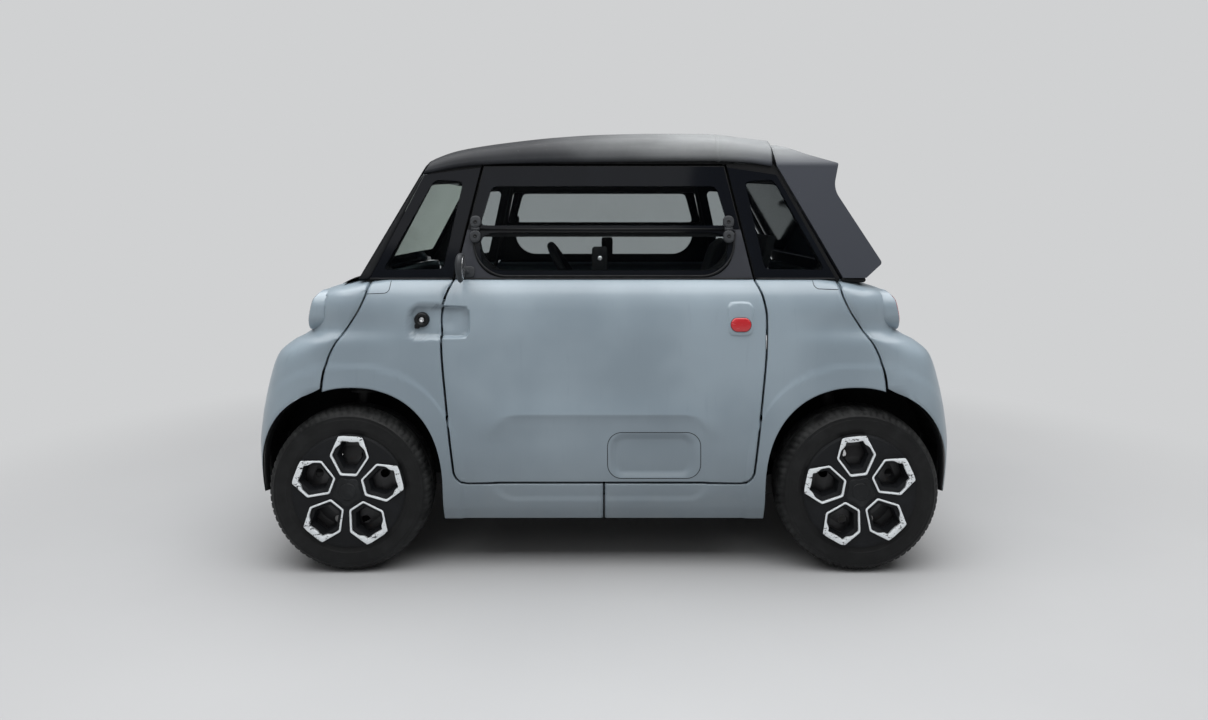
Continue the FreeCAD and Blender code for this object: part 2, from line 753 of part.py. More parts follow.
def chassis_rails():
    """Two rails with cross members, outriggers to the sills, end beams and suspension towers."""
    parts = []
    for sign in (-1, 1):
        low, high = sorted((sign * (rail_y - 25), sign * (rail_y + 25)))
        parts.append(box(-1150, 1150, low, high, 200, floor_z))
        for x in (-440, 440):
            parts.append(across(sign, rail_y, 622, x - 25, x + 25, 200, floor_z))
            parts.append(across(sign, 540, 600, x - 40, x + 40, jack_z, 210))
        parts.append(across(sign, rail_y, 447, 545, 585, 212, 245))
        low, high = sorted((sign * 334, sign * 364))
        parts.append(box(-axle_x - 30, -axle_x + 30, low, high, 240, strut_top_z + 12))
        low, high = sorted((sign * 345, sign * 520))
        parts.append(box(-axle_x - 50, -axle_x + 50, low, high, strut_top_z, strut_top_z + 12))
        low, high = sorted((sign * 345, sign * 378))
        parts.append(box(776, 836, low, high, 240, 702))
        low, high = sorted((sign * 345, sign * 460))
        parts.append(box(776, 836, low, high, 690, 702))
    for x in (-1125, -640, 480, 640, 1125):
        parts.append(box(x - 25, x + 25, -rail_y, rail_y, 205, floor_z - 5))
    for x in (-950, -845):
        parts.append(box(x - 20, x + 20, -rail_y, rail_y, 178, 204.5))
    for x in (-1160, 1130):
        parts.append(box(x, x + 30, -365, 365, 200, 330))
    return fuse_all(parts).cut(cylinder_y(20, -400, 400, -axle_x, tyre_radius))


def floor_pan():
    """The cabin floor with its toe board in front and the raised luggage floor behind."""
    toe = [(-528, floor_z), (-700, floor_z), (-770, 520), (-770, 800), (-760, 800), (-760, 522),
           (-693, floor_z + 8), (-528, floor_z + 8)]
    shelf = [(520, floor_z), (520, 420), (1080, 420), (1080, 412), (528, 412), (528, floor_z)]
    plate = box(-528, 528, -634, 634, floor_z, floor_z + 8)
    pan = fuse_all([plate, side_prism(toe, -368, 368), side_prism(shelf, -386, 386)])
    for sign in (-1, 1):
        pan = pan.cut(across(sign, 340, 390, 770, 842, 400, 430))
    return pan


def wheel_liners():
    """Thin arch liners with an inner wall, open where the axle and strut pass."""
    liners = []
    for side, wall_y, notch in ((-1, 372.0, 160.0), (1, 390.0, 172.0)):
        centre = side * axle_x
        outer = arch_prism(centre, arch_half_width + 12, arch_height + 12, -655, -wall_y)
        inner = arch_prism(centre, arch_half_width + 8, arch_height + 8, -700, -wall_y - 4)
        liner = outer.cut(inner).cut(box(centre - 400, centre + 400, -700, -300, 50, end_lip_z))
        liner = liner.cut(box(centre - notch, centre + notch, -wall_y - 10, -wall_y + 10, 100, 380))
        liner = liner.cut(box(centre - 110, centre + 70, -540, -wall_y + 10, 560, 700))
        if side > 0:
            liner = liner.cut(box(500, 640, -510, -wall_y + 10, 100, 330))
        liner = biggest(liner.common(body_form(panel_wall + 1.5)))
        liners.extend([liner, flip_y(liner)])
    return Part.makeCompound(liners)


def dashboard():
    """A moulded shelf below the windscreen, open towards the front."""
    outer = [(-812, 945), (-640, 966, 30), (-520, 932, 40), (-488, 868, 30), (-530, 800, 40),
             (-590, 640, 30), (-640, 600, 30), (-750, 640), (-812, 800)]
    hollow = [(-830, 922), (-645, 940, 20), (-540, 910, 20), (-516, 866, 20), (-556, 795, 20),
              (-612, 655, 20), (-645, 628, 20), (-740, 560), (-830, 560)]
    shell = side_prism(outer, -590, 590).cut(side_prism(hollow, -570, 570))
    return biggest(shell.cut(column_rod(28)))


wheel_hub = V(-118, -300, 951)
column_axis = V(-0.86, 0, -0.51)


def column_rod(radius):
    """The steering column's tube, from behind the wheel to inside the dashboard."""
    along = V(column_axis).normalize()
    return rod(wheel_hub + along * 34, wheel_hub + along * 505, radius)


def steering_wheel():
    """A round rim on three flat spokes with a padded boss."""
    ring = Part.makeTorus(166, 14)
    boss = Part.makeCone(52, 44, 26, V(0, 0, -20))
    parts = [ring, boss]
    for turn in (90, 210, 330):
        spoke = box(30, 164, -17, 17, -9, 3)
        spoke.rotate(V(0, 0, 0), V(0, 0, 1), turn)
        parts.append(spoke)
    wheel = fuse_all(parts)
    wheel.rotate(V(0, 0, 0), V(0, 1, 0), 59.3)
    return placed(wheel, wheel_hub.x, wheel_hub.y, wheel_hub.z)


seat_y = 300.0


def seats():
    """Bucket shells on plinths, with a cushion and a back pad on each."""
    shell = [(-60, 466), (330, 440, 40), (432, 470, 40), (612, 1130, 8), (588, 1142, 8),
             (408, 494, 24), (330, 462, 40), (-56, 492)]
    cushion = [(-60, 499, 20), (322, 470, 30), (376, 494, 20), (386, 550, 20), (300, 546, 60),
               (-48, 575, 25)]
    back = [(404, 562, 12), (418, 562, 6), (574, 1118, 14), (535, 1130, 25), (500, 1090, 30),
            (392, 700, 60), (360, 600, 20)]
    shells = []
    pads = []
    for sign in (-1, 1):
        y = sign * seat_y
        shells.append(side_prism(shell, y - 230, y + 230).fuse(box(20, 360, y - 190, y + 190, 258, 470)))
        pads.append(side_prism(cushion, y - 215, y + 215))
        pads.append(side_prism(back, y - 205, y + 205))
    return shells, pads


def running_gear():
    wheels()
    left = knuckle()
    save("knuckle_left", left)
    save("knuckle_right", flip_y(left))
    save("front_suspension_arms", suspension_arms())
    save("steering_rack", steering_rack())
    save("rear_axle", rear_axle())
    save("chassis_rails", chassis_rails())
    save("floor_pan", floor_pan())
    save("wheel_liners", wheel_liners())
    save("battery_pack", box(-420, 380, -295, 295, 176, 249.7))
    save("drive_motor", box(-1000, -796, -185, 185, 205, 385))


def interior():
    save("dashboard", dashboard())
    save("steering_column", column_rod(27))
    save("steering_wheel", steering_wheel())
    shells, pads = seats()
    save("seat_shells", Part.makeCompound(shells))
    save("seat_pads", Part.makeCompound(pads))


os.makedirs("parts", exist_ok=True)
body_panels()
cabin()
running_gear()
interior()
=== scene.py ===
import math

import bpy
import numpy as np
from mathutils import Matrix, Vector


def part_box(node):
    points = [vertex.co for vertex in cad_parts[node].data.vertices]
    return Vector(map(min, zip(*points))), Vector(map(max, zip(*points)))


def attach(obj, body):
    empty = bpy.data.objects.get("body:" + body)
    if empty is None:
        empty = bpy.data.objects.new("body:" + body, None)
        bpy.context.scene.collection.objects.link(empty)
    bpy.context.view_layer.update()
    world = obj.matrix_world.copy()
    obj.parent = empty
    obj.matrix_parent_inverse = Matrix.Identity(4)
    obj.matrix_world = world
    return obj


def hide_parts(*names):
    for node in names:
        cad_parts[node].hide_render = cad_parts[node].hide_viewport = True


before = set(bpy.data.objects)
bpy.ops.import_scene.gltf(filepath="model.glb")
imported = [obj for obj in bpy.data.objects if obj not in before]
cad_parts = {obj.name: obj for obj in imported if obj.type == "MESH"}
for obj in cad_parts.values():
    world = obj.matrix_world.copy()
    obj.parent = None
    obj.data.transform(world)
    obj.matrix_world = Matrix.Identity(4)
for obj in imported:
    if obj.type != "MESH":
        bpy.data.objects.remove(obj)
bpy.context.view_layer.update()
mm = 0.001

# Places that several pieces share, in millimetres; front towards -X, left side towards -Y
car = {"axleX": 864.0, "wheelY": 610.0, "axleZ": 278.5, "beltZ": 990.0, "endLipZ": 248.0,
       "cornerRadius": 150.0, "flare": 5.0, "gap": 7.0, "seam": 3.0, "doorBottom": 306.0}


# Materials: a thin layer over Blender's nodes

def linear(red, green, blue):
    # screen colour, 0 to 255, to the linear values that a shader takes
    values = np.array([red, green, blue]) / 255.0
    low = values / 12.92
    high = ((values + 0.055) / 1.055) ** 2.4
    return tuple(np.where(values <= 0.04045, low, high)) + (1.0,)


class Link:
    # one socket of a material; arithmetic on it adds Math nodes
    def __init__(self, finish, socket):
        self.finish = finish
        self.socket = socket

    def maths(self, operation, first, second=0.0):
        return self.finish.add("ShaderNodeMath", {"operation": operation}, {0: first, 1: second})

    def __add__(self, other):
        return self.maths("ADD", self, other)

    def __radd__(self, other):
        return self.maths("ADD", other, self)

    def __sub__(self, other):
        return self.maths("SUBTRACT", self, other)

    def __rsub__(self, other):
        return self.maths("SUBTRACT", other, self)

    def __mul__(self, other):
        return self.maths("MULTIPLY", self, other)

    def __rmul__(self, other):
        return self.maths("MULTIPLY", other, self)

    def __truediv__(self, other):
        return self.maths("DIVIDE", self, other)

    def __pow__(self, other):
        return self.maths("POWER", self, other)

    def __abs__(self):
        return self.maths("ABSOLUTE", self)

    def most(self, other):
        return self.maths("MAXIMUM", self, other)

    def step(self, low, high):
        # 0 below low, 1 above high, smooth between; low above high turns it round
        ends = {"Value": self, "From Min": low, "From Max": high}
        return self.finish.add("ShaderNodeMapRange", {"interpolation_type": "SMOOTHSTEP"}, ends)


class Finish:
    # one material with its Principled shader
    def __init__(self, name, **constants):
        self.material = bpy.data.materials.new(name)
        self.material.use_nodes = True
        self.tree = self.material.node_tree
        self.shader = self.tree.nodes["Principled BSDF"]
        self.output = self.tree.nodes["Material Output"]
        self.place = self.add("ShaderNodeTexCoord", {}, {}, "Object")
        for label, value in constants.items():
            self.shader.inputs[label.replace("_", " ")].default_value = value

    def add(self, kind, settings, inputs, output=0):
        node = self.tree.nodes.new(kind)
        for label, value in settings.items():
            setattr(node, label, value)
        for label, value in inputs.items():
            if isinstance(value, Link):
                self.tree.links.new(value.socket, node.inputs[label])
            else:
                node.inputs[label].default_value = value
        return Link(self, node.outputs[output])

    def axes(self):
        # the object's own x, y and z in metres
        return self.split(self.place)

    def split(self, vector):
        node = self.add("ShaderNodeSeparateXYZ", {}, {0: vector}).socket.node
        return [Link(self, node.outputs[i]) for i in range(3)]

    def stretched(self, x, y, z):
        return self.add("ShaderNodeMapping", {}, {"Vector": self.place, "Scale": (x, y, z)})

    def noise(self, scale, detail=3.0, rough=0.5, place=None):
        inputs = {"Vector": place or self.place, "Scale": scale, "Detail": detail, "Roughness": rough}
        return self.add("ShaderNodeTexNoise", {}, inputs)

    def cells(self, scale, feature="F1", place=None):
        inputs = {"Vector": place or self.place, "Scale": scale}
        return self.add("ShaderNodeTexVoronoi", {"feature": feature}, inputs, "Distance")

    def mix(self, mask, first, second):
        return self.add("ShaderNodeMix", {"data_type": "RGBA"}, {0: mask, 6: first, 7: second}, 2)

    def colour(self, value):
        self.feed("Base Color", value)

    def rough(self, value):
        self.feed("Roughness", value)

    def feed(self, label, value):
        self.tree.links.new(value.socket, self.shader.inputs[label])

    def bump(self, height, distance, strength=1.0):
        # height 0 to 1 raises the surface by distance in metres
        inputs = {"Height": height, "Distance": distance, "Strength": strength}
        node = self.add("ShaderNodeBump", {}, inputs)
        self.feed("Normal", node)

    def seeThrough(self, mask, tint):
        # where mask is 0 the shader gives way to a tinted clear pane
        clear = self.add("ShaderNodeBsdfTransparent", {}, {"Color": tint})
        self.blend(mask, clear, Link(self, self.shader.outputs[0]))

    def blend(self, mask, first, second):
        # the material's surface: the first shader where mask is 0, the second where it is 1
        both = self.add("ShaderNodeMixShader", {}, {0: mask, 1: first, 2: second})
        self.tree.links.new(both.socket, self.output.inputs["Surface"])


bodyLook = {"base": (137, 151, 161), "shade": (121, 135, 145), "dust": (132, 141, 146),
            "lowShade": (84, 92, 97), "roughness": 0.34}


def bodyFinish(name="bodySatin"):
    # mass-coloured satin plastic: soft cloudiness, fine orange peel, dust low down and a few pale chips;
    # painted shade darkens it towards the bottom and to near black on the inward faces round the wheels
    f = Finish(name, Coat_Weight=0.45, Coat_Roughness=0.24, Specular_IOR_Level=0.55)
    x, y, z = f.axes()
    cloud = f.noise(2.2, 3)
    base = f.mix(cloud.step(0.35, 0.7), linear(*bodyLook["base"]), linear(*bodyLook["shade"]))
    low = z.step(0.42, 0.17) * f.noise(9, 5).step(0.35, 0.75) * 0.35
    # painted shade: a darker copy of the body colour, fading in below z 0.62 m
    shadedLow = f.mix(z.step(0.62, 0.2) * 0.4, base, linear(*bodyLook["lowShade"]))
    dusty = f.mix(low, shadedLow, linear(*bodyLook["dust"]))
    streak = f.noise(5, 4, place=f.stretched(14, 14, 1.2)).step(0.58, 0.8) * 0.16
    streaked = f.mix(streak, dusty, linear(108, 119, 128))
    chips = f.cells(8.5).step(0.034, 0.022) * f.noise(3.1, 1).step(0.56, 0.6)
    painted = f.mix(chips, streaked, linear(222, 224, 222))
    # painted shade: near black on the inward faces round the wheels, low down, past x = 0.6, n.p below -0.1
    nx, ny, nz = f.split(f.add("ShaderNodeNewGeometry", {}, {}, "Normal"))
    inward = (nx * x + ny * y).step(-0.05, -0.2) * abs(x).step(0.58, 0.6) * z.step(0.72, 0.68)
    f.colour(f.mix(inward, painted, linear(14, 15, 17)))
    fine = f.noise(130, 2)
    f.rough(bodyLook["roughness"] + 0.1 * cloud + 0.16 * low + 0.05 * fine)
    f.bump(fine * 0.5 + 0.5 * f.noise(900, 1), 0.00006)
    return f.material


roofLook = {"base": (26, 28, 32), "pale": (50, 52, 56), "worn": (150, 153, 154), "hood": (58, 61, 68),
            "grain": 620.0}


def roofFinish():
    # grained charcoal plastic, greyed towards the rear where it faces the sky: painted highlight of the
    # overhead lamp, mixed with weathering
    f = Finish("roofGrain", Specular_IOR_Level=0.22)
    x, y, z = f.axes()
    weather = f.noise(3.3, 5, 0.6)
    wash = f.noise(4, 4, place=f.stretched(1.0, 9, 9)).step(0.42, 0.75)
    tone = weather.step(0.3, 0.75) * 0.4 + wash * 0.2
    fresh = f.mix(tone, linear(*roofLook["base"]), linear(*roofLook["pale"]))
    # painted highlight: the overhead lamp's sheen on the roof's top, growing towards the rear and broken up
    # by the weathering noise
    rearSheenAndWear = (x + 0.22 * weather).step(-0.25, 0.62) * z.step(1.38, 1.45)
    hood = f.mix(x.step(0.40, 0.56), fresh, linear(*roofLook["hood"]))
    base = f.mix(rearSheenAndWear * (0.55 + 0.4 * tone), hood, linear(*roofLook["worn"]))
    specks = f.cells(90).step(0.10, 0.05) * f.noise(12, 2).step(0.6, 0.66)
    f.colour(f.mix(specks * 0.6, base, linear(140, 143, 146)))
    grain = f.cells(roofLook["grain"], "SMOOTH_F1")
    f.rough(0.42 + 0.16 * weather + 0.1 * grain)
    f.bump(grain * 0.7 + 0.3 * f.noise(1500, 2), 0.00018)
    return f.material


def trimFinish(name, dark=(13, 15, 18), pale=(29, 31, 35), roughness=0.55, grain=900.0, depth=0.00012):
    # black moulded plastic with a fine grain and a little wear
    f = Finish(name, Specular_IOR_Level=0.25)
    wear = f.noise(14, 5, 0.65)
    f.colour(f.mix(wear.step(0.45, 0.85) * 0.7, linear(*dark), linear(*pale)))
    grain = f.cells(grain, "SMOOTH_F1")
    f.rough(roughness + 0.14 * wear)
    f.bump(grain, depth)
    return f.material


def frameFinish():
    # grey corner trims flush with the glass, black where the frame stands behind it
    f = Finish("frameTrim", Specular_IOR_Level=0.3)
    x, y, z = f.axes()
    behind = (0.622 - 0.154 * (z - 0.992) - abs(y)).step(0.002, 0.0035)
    wear = f.noise(14, 5, 0.65)
    grey = f.mix(wear.step(0.45, 0.85) * 0.7, linear(44, 46, 52), linear(64, 66, 71))
    f.colour(f.mix(behind, grey, linear(11, 12, 14)))
    grain = f.cells(900.0, "SMOOTH_F1")
    f.rough(0.5 + 0.14 * wear)
    f.bump(grain, 0.00012)
    return f.material


def steelFinish(name, dark, pale, roughness=0.5, rust=0.25):
    # painted steel with stone chips and some rust in them
    f = Finish(name, Specular_IOR_Level=0.5)
    wear = f.noise(24, 6, 0.7)
    base = f.mix(f.noise(5, 3).step(0.3, 0.75), linear(*dark), linear(*pale))
    f.colour(f.mix(wear.step(0.62, 0.75) * rust, base, linear(92, 58, 40)))
    f.rough(roughness + 0.25 * wear.step(0.4, 0.8))
    f.bump(wear, 0.0003)
    return f.material


def gritFinish(name, grit, dark, pale, ends, roughness, spread, depth, **constants):
    # one grain, as (scale, detail, roughness), that tints, roughens and raises a plain surface
    f = Finish(name, **constants)
    grain = f.noise(*grit)
    f.colour(f.mix(grain.step(*ends), linear(*dark), linear(*pale)))
    f.rough(roughness + spread * grain)
    f.bump(grain, depth)
    return f.material


def tyreFinish():
    # dry rubber, browner and dustier on the tread than on the side wall
    f = Finish("tyreRubber", Specular_IOR_Level=0.28)
    mark = f.add("ShaderNodeAttribute", {"attribute_name": "mark"}, {}, "Fac")
    dust = f.noise(18, 6, 0.65)
    side = f.mix(dust.step(0.38, 0.8), linear(7, 8, 9), linear(24, 25, 26))
    f.colour(f.mix(mark * dust.step(0.3, 0.7), side, linear(44, 45, 45)))
    f.rough(0.42 + 0.2 * dust + 0.16 * mark)
    f.bump(f.noise(420, 3), 0.00015)
    return f.material


def silverFinish():
    # pale ring paint; the mark is 1 at the bands' broad outer edges, where kerbs scuffed it to black
    f = Finish("ringPaint", Coat_Weight=0.2)
    mark = f.add("ShaderNodeAttribute", {"attribute_name": "mark"}, {}, "Fac")
    scratch = f.noise(38, 5, 0.7, f.stretched(1.0, 1.0, 3.2)) * 0.7 + 0.3 * f.noise(210, 3)
    scuff = scratch + 0.075 * mark
    f.colour(f.mix(scuff.step(0.66, 0.62), linear(26, 27, 29), linear(220, 225, 228)))
    f.rough(0.34 + 0.3 * scuff.step(0.5, 0.66))
    f.bump(scuff.step(0.66, 0.6), 0.0003)
    return f.material


def fabricFinish():
    # plain weave of two dark yarns, with pilling
    f = Finish("seatWeave", Sheen_Weight=0.35, Sheen_Roughness=0.5, Specular_IOR_Level=0.2)
    x, y, z = f.axes()
    pitch = 2 * math.pi / 0.0022
    warp = f.add("ShaderNodeMath", {"operation": "SINE"}, {0: (x + z) * pitch})
    weft = f.add("ShaderNodeMath", {"operation": "SINE"}, {0: y * pitch})
    weave = warp * weft * 0.5 + 0.5
    tone = weave * 0.5 + f.noise(30, 5) * 0.5
    f.colour(f.mix(tone, linear(38, 41, 46), linear(72, 76, 82)))
    f.rough(0.85 + 0.1 * weave)
    f.bump(weave * 0.7 + f.noise(500, 2) * 0.3, 0.0005)
    return f.material


def glassFinish(name, clearMask, tint=(0.79, 0.81, 0.812, 1.0), grazing=1.0, dip=0.0):
    # a pane that is clear where the mask says, and printed black round its edge;
    # at a grazing view it grows opaque by grazing (0.04 + 0.96 facing^5) - dip
    f = Finish(name, Roughness=0.06, Specular_IOR_Level=0.25)
    clear = clearMask(f)
    smear = f.noise(6, 5, 0.6)
    f.colour(f.mix(smear.step(0.5, 0.9) * 0.5, linear(8, 11, 17), linear(20, 25, 31)))
    f.rough(0.05 + 0.06 * smear)
    f.bump(f.noise(3.0, 1), 0.0002)
    facing = f.add("ShaderNodeLayerWeight", {}, {"Blend": 0.5}, "Facing")
    mirror = 0.04 + 0.96 * facing ** 5
    f.seeThrough((1.0 - clear).most(mirror * grazing - dip + 0.04 * smear), tint)
    return f.material


# Surfaces: whole grids of points, worked out at once in millimetres

def smooth(low, high, value):
    t = np.clip((value - low) / (high - low), 0.0, 1.0)
    return t * t * (3 - 2 * t)


def monotone(places, values):
    # cubic through the points that doesn't overshoot between them
    places = np.array(places, float)
    values = np.array(values, float)
    h = np.diff(places)
    d = np.diff(values) / h
    slope = np.zeros(len(values))
    steady = d[:-1] * d[1:] > 0
    near = 2 * h[1:] + h[:-1]
    far = h[1:] + 2 * h[:-1]
    safe = np.where(steady, near / np.where(steady, d[:-1], 1) + far / np.where(steady, d[1:], 1), 1)
    slope[1:-1] = np.where(steady, (near + far) / safe, 0)
    slope[0], slope[-1] = d[0], d[-1]

    def curve(at):
        i = np.clip(np.searchsorted(places, at) - 1, 0, len(h) - 1)
        t = np.clip((at - places[i]) / h[i], 0, 1)
        rise = values[i] * (1 + 2 * t) * (1 - t) ** 2 + values[i + 1] * t * t * (3 - 2 * t)
        return rise + h[i] * (slope[i] * t * (1 - t) ** 2 - slope[i + 1] * t * t * (1 - t))
    return curve


def along(points, count):
    # points spaced evenly by length along a broken line
    points = np.array(points, float)
    far = np.concatenate([[0], np.cumsum(np.linalg.norm(np.diff(points, axis=0), axis=1))])
    at = np.linspace(0, far[-1], count)
    return np.stack([np.interp(at, far, points[:, k]) for k in range(points.shape[1])], axis=1)


def ticks(low, high, pitch, edges=(), fine=2.0, reach=8.0, roll=True):
    # places of grid lines: even, closer round the given edges and at both ends
    lines = [np.linspace(low, high, int(math.ceil((high - low) / pitch)) + 1)]
    for edge in edges:
        lines.append(np.arange(edge - reach, edge + reach + 0.1, fine))
    if roll:
        step = np.array([0, 0.5, 1.4, 2.6, 4.2])
        lines.extend([low + step, high - step])
    places = np.sort(np.concatenate(lines))
    places = places[(places >= low) & (places <= high)]
    keep = np.concatenate([[True], np.diff(places) > 0.35])
    keep[-1] = True
    return places[keep]


def normals(points):
    # unit normals of a grid (rows, columns, 3), from its two directions crossed
    down = np.gradient(points, axis=0)
    right = np.gradient(points, axis=1)
    n = np.cross(right, down)
    return n / np.maximum(np.linalg.norm(n, axis=2, keepdims=True), 1e-9)


def quads(rows, columns, start=0, ringed=False):
    # corner numbers of a grid's quads; ringed joins the last column to the first
    wide = columns if ringed else columns - 1
    r, c = np.meshgrid(np.arange(rows - 1), np.arange(wide), indexing="ij")
    following = (c + 1) % columns
    faces = np.stack([r * columns + c, r * columns + following, (r + 1) * columns + following,
                      (r + 1) * columns + c], axis=-1)
    return faces.reshape(-1, 4) + start


def capped(rings, turned=False):
    # rings of points (rows, n, 3) become a closed skin, with a fan of triangles over each end
    rows, count = rings.shape[:2]
    ring = np.arange(count)
    low, high = np.full(count, rows * count), np.full(count, rows * count + 1)
    last = (rows - 1) * count
    first = np.stack([low, (ring + 1) % count, ring], axis=1)
    final = np.stack([high, last + ring, last + (ring + 1) % count], axis=1)
    faces = [quads(rows, count, ringed=True), np.concatenate([first, final])]
    points = np.concatenate([rings.reshape(-1, 3), [rings[0].mean(axis=0), rings[-1].mean(axis=0)]])
    return points, [f[:, ::-1] for f in faces] if turned else faces


def makeMesh(name, points, faces, finish, body="root", stands=(), slot=None, marks=None):
    # points (n, 3) in millimetres and faces, one array or several, become an object that rides on a body
    mesh = bpy.data.meshes.new(name)
    mesh.vertices.add(len(points))
    mesh.vertices.foreach_set("co", (np.asarray(points, np.float64) * mm).astype(np.float32).ravel())
    sets = faces if isinstance(faces, list) else [faces]
    corners = np.concatenate([np.asarray(f, np.int32).ravel() for f in sets])
    sizes = np.concatenate([np.full(len(f), f.shape[1], np.int32) for f in sets])
    mesh.loops.add(len(corners))
    mesh.loops.foreach_set("vertex_index", corners)
    mesh.polygons.add(len(sizes))
    mesh.polygons.foreach_set("loop_start", np.concatenate([[0], np.cumsum(sizes)[:-1]]).astype(np.int32))
    mesh.polygons.foreach_set("use_smooth", np.ones(len(sizes), bool))
    mesh.update(calc_edges=True)
    mesh.validate()
    mesh.materials.append(finish)
    thing = bpy.data.objects.new(name, mesh)
    bpy.context.scene.collection.objects.link(thing)
    if marks is not None:
        held = mesh.attributes.new("mark", "FLOAT", "POINT")
        held.data.foreach_set("value", np.asarray(marks, np.float32))
    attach(thing, body)
    if stands:
        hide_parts(*stands)
    return thing


def shell(points, thickness, outward, keep=None, roll=4.0):
    # closes a grid into a wall: front, rolled edges and back.
    # The front's border sinks by roll - sqrt(roll^2 - (roll - d)^2) at distance d < roll from it.
    n = normals(points)
    if np.sum(n * outward) < 0:
        points = points[:, ::-1]
        n = -n[:, ::-1]
        keep = None if keep is None else keep[:, ::-1]
    rows, columns = points.shape[:2]
    across = np.linalg.norm(np.diff(points, axis=1), axis=2)
    upward = np.linalg.norm(np.diff(points, axis=0), axis=2)
    start = np.concatenate([np.zeros((rows, 1)), np.cumsum(across, axis=1)], axis=1)
    low = np.concatenate([np.zeros((1, columns)), np.cumsum(upward, axis=0)], axis=0)
    reach = np.minimum(np.minimum(start, start[:, -1:] - start), np.minimum(low, low[-1:] - low))
    inside = np.clip(roll - reach, 0, roll)
    sink = roll - np.sqrt(roll * roll - inside * inside)
    front = points - n * sink[..., None]
    back = points - n * thickness
    faces = quads(rows, columns)
    if keep is not None:
        faces = faces[keep[:-1, :-1].ravel()]
    total = rows * columns
    other = faces[:, ::-1] + total
    # the rim joins front and back along every edge that only one face uses, round holes as well
    edges = np.concatenate([faces[:, [i, (i + 1) % 4]] for i in range(4)])
    key = edges.min(axis=1) * total + edges.max(axis=1)
    where, uses = np.unique(key, return_index=True, return_counts=True)[1:]
    a, b = edges[where[uses == 1]].T
    rim = np.stack([a, a + total, b + total, b], axis=1)
    return np.concatenate([front.reshape(-1, 3), back.reshape(-1, 3)]), np.concatenate([faces, other, rim])


def halfTurn(points):
    return points * np.array([-1.0, -1.0, 1.0])


def mirrored(points, faces):
    # the mirror image on the other side, its faces turned to look outward again
    sets = faces if isinstance(faces, list) else [faces]
    return points * np.array([1.0, -1.0, 1.0]), [f[:, ::-1] for f in sets]


def mirroredPair(name, part, finish, bodies, slot=None, stands=((), ())):
    # the left piece and its mirror image on the right
    makeMesh(name + "Left", *part, finish, bodies[0], stands[0], slot)
    makeMesh(name + "Right", *mirrored(*part), finish, bodies[1], stands[1], slot)


def roundedBox(x, z, box):
    # signed distance to a box with round corners, negative inside
    x0, x1, z0, z1, radius = box
    dx = np.abs(x - (x0 + x1) / 2) - ((x1 - x0) / 2 - radius)
    dz = np.abs(z - (z0 + z1) / 2) - ((z1 - z0) / 2 - radius)
    return np.hypot(np.maximum(dx, 0), np.maximum(dz, 0)) + np.minimum(np.maximum(dx, dz), 0) - radius


# Body panels

sidePoints = [(633, 165), (663, 220), (680, 300), (688, 420), (690, 600), (687, 800), (681, 880), (671, 930),
              (657, 960), (636, 983), (624, 990)]
endPoints = [(1190, 165), (1199, 270), (1205, 420), (1196, 515), (1171, 645), (1142, 729), (1089, 775),
             (1050, 795), (1027, 814), (1017, 878), (1006, 925), (980, 950), (940, 964), (890, 979),
             (850, 990)]
doorPoints = [(506, 352), (513, 410), (531, 580), (547, 780), (548, 865), (538, 930), (514, 990)]
seamPoints = [(955, 590), (952, 640), (936, 717), (913, 770), (868, 835), (832, 891), (811, 946), (805, 1000)]
sideHalf = monotone([z for a, z in sidePoints], [a for a, z in sidePoints])
endReach = monotone([z for a, z in endPoints], [a for a, z in endPoints])
doorEdge = monotone([z for a, z in doorPoints], [a for a, z in doorPoints])
seamReach = monotone([z for a, z in seamPoints], [a for a, z in seamPoints])

# box (x0, x1, z0, z1, corner radius), depth inward, softness of its edge
hollows = [((-659, -457, 797, 900, 30), 20.0, 5.0), ((29, 300, 330, 463, 44), 13.0, 15.0),
           ((-372, 352, 248, 528, 70), 5.0, 12.0),
           ((420, 504, 805, 915, 24), -5.0, 3.0), ((-548, -505, 826, 972, 21), 7.0, 9.0)]


def creaseAt(x, z):
    # the flare inside the superellipse ((|x| - axle) / 385)^2.3 + ((z - axle) / 426)^2.3 = 1, less the
    # valley that grows towards the ends: depth exp(-((z - 826) / w)^2), w 30 below and 58 above
    high = np.clip(z - car["axleZ"], 0, None) / 426
    q = np.abs((np.abs(x) - car["axleX"]) / 385) ** 2.3 + high ** 2.3
    width = np.where(z < 826, 30.0, 58.0)
    valley = 20 * smooth(540, 1010, np.abs(x)) * np.exp(-((z - 826) / width) ** 2)
    return car["flare"] * smooth(1.02, 0.97, q) - valley


def wallAt(x, z):
    # half width y = W(z) - r + sqrt(r^2 - over^2), over = how far |x| is into the corner of radius r
    r = car["cornerRadius"]
    over = np.clip(np.abs(x) - (endReach(z) - r), 0, r)
    return sideHalf(z) - r + np.sqrt(r * r - over * over) + creaseAt(x, z)


ledge = {"box": (-372, 352, 248, 540, 90), "high": 9.0, "above": 110.0, "below": 100.0, "bend": 2.2}


def leftSkin(x, z):
    # the left side with its hollows and the button's boss, and the ledge over the largest hollow:
    # high (1 - d / above)^bend outside its box and high (1 + d / below) inside, faded out by z 430
    y = wallAt(x, z)
    for box, depth, soft in hollows:
        y = y - depth * smooth(soft, -soft, roundedBox(x, z, box))
    away = roundedBox(x, z, ledge["box"])
    outside = np.clip(1 - away / ledge["above"], 0, 1) ** ledge["bend"]
    rise = np.where(away > 0, outside, np.clip(1 + away / ledge["below"], 0, 1))
    y = y + ledge["high"] * rise * smooth(430, 520, z)
    return np.stack([x, -y, z], axis=-1)


panelLook = {"pitch": 14.0, "wall": 24.0, "roll": 4.0}


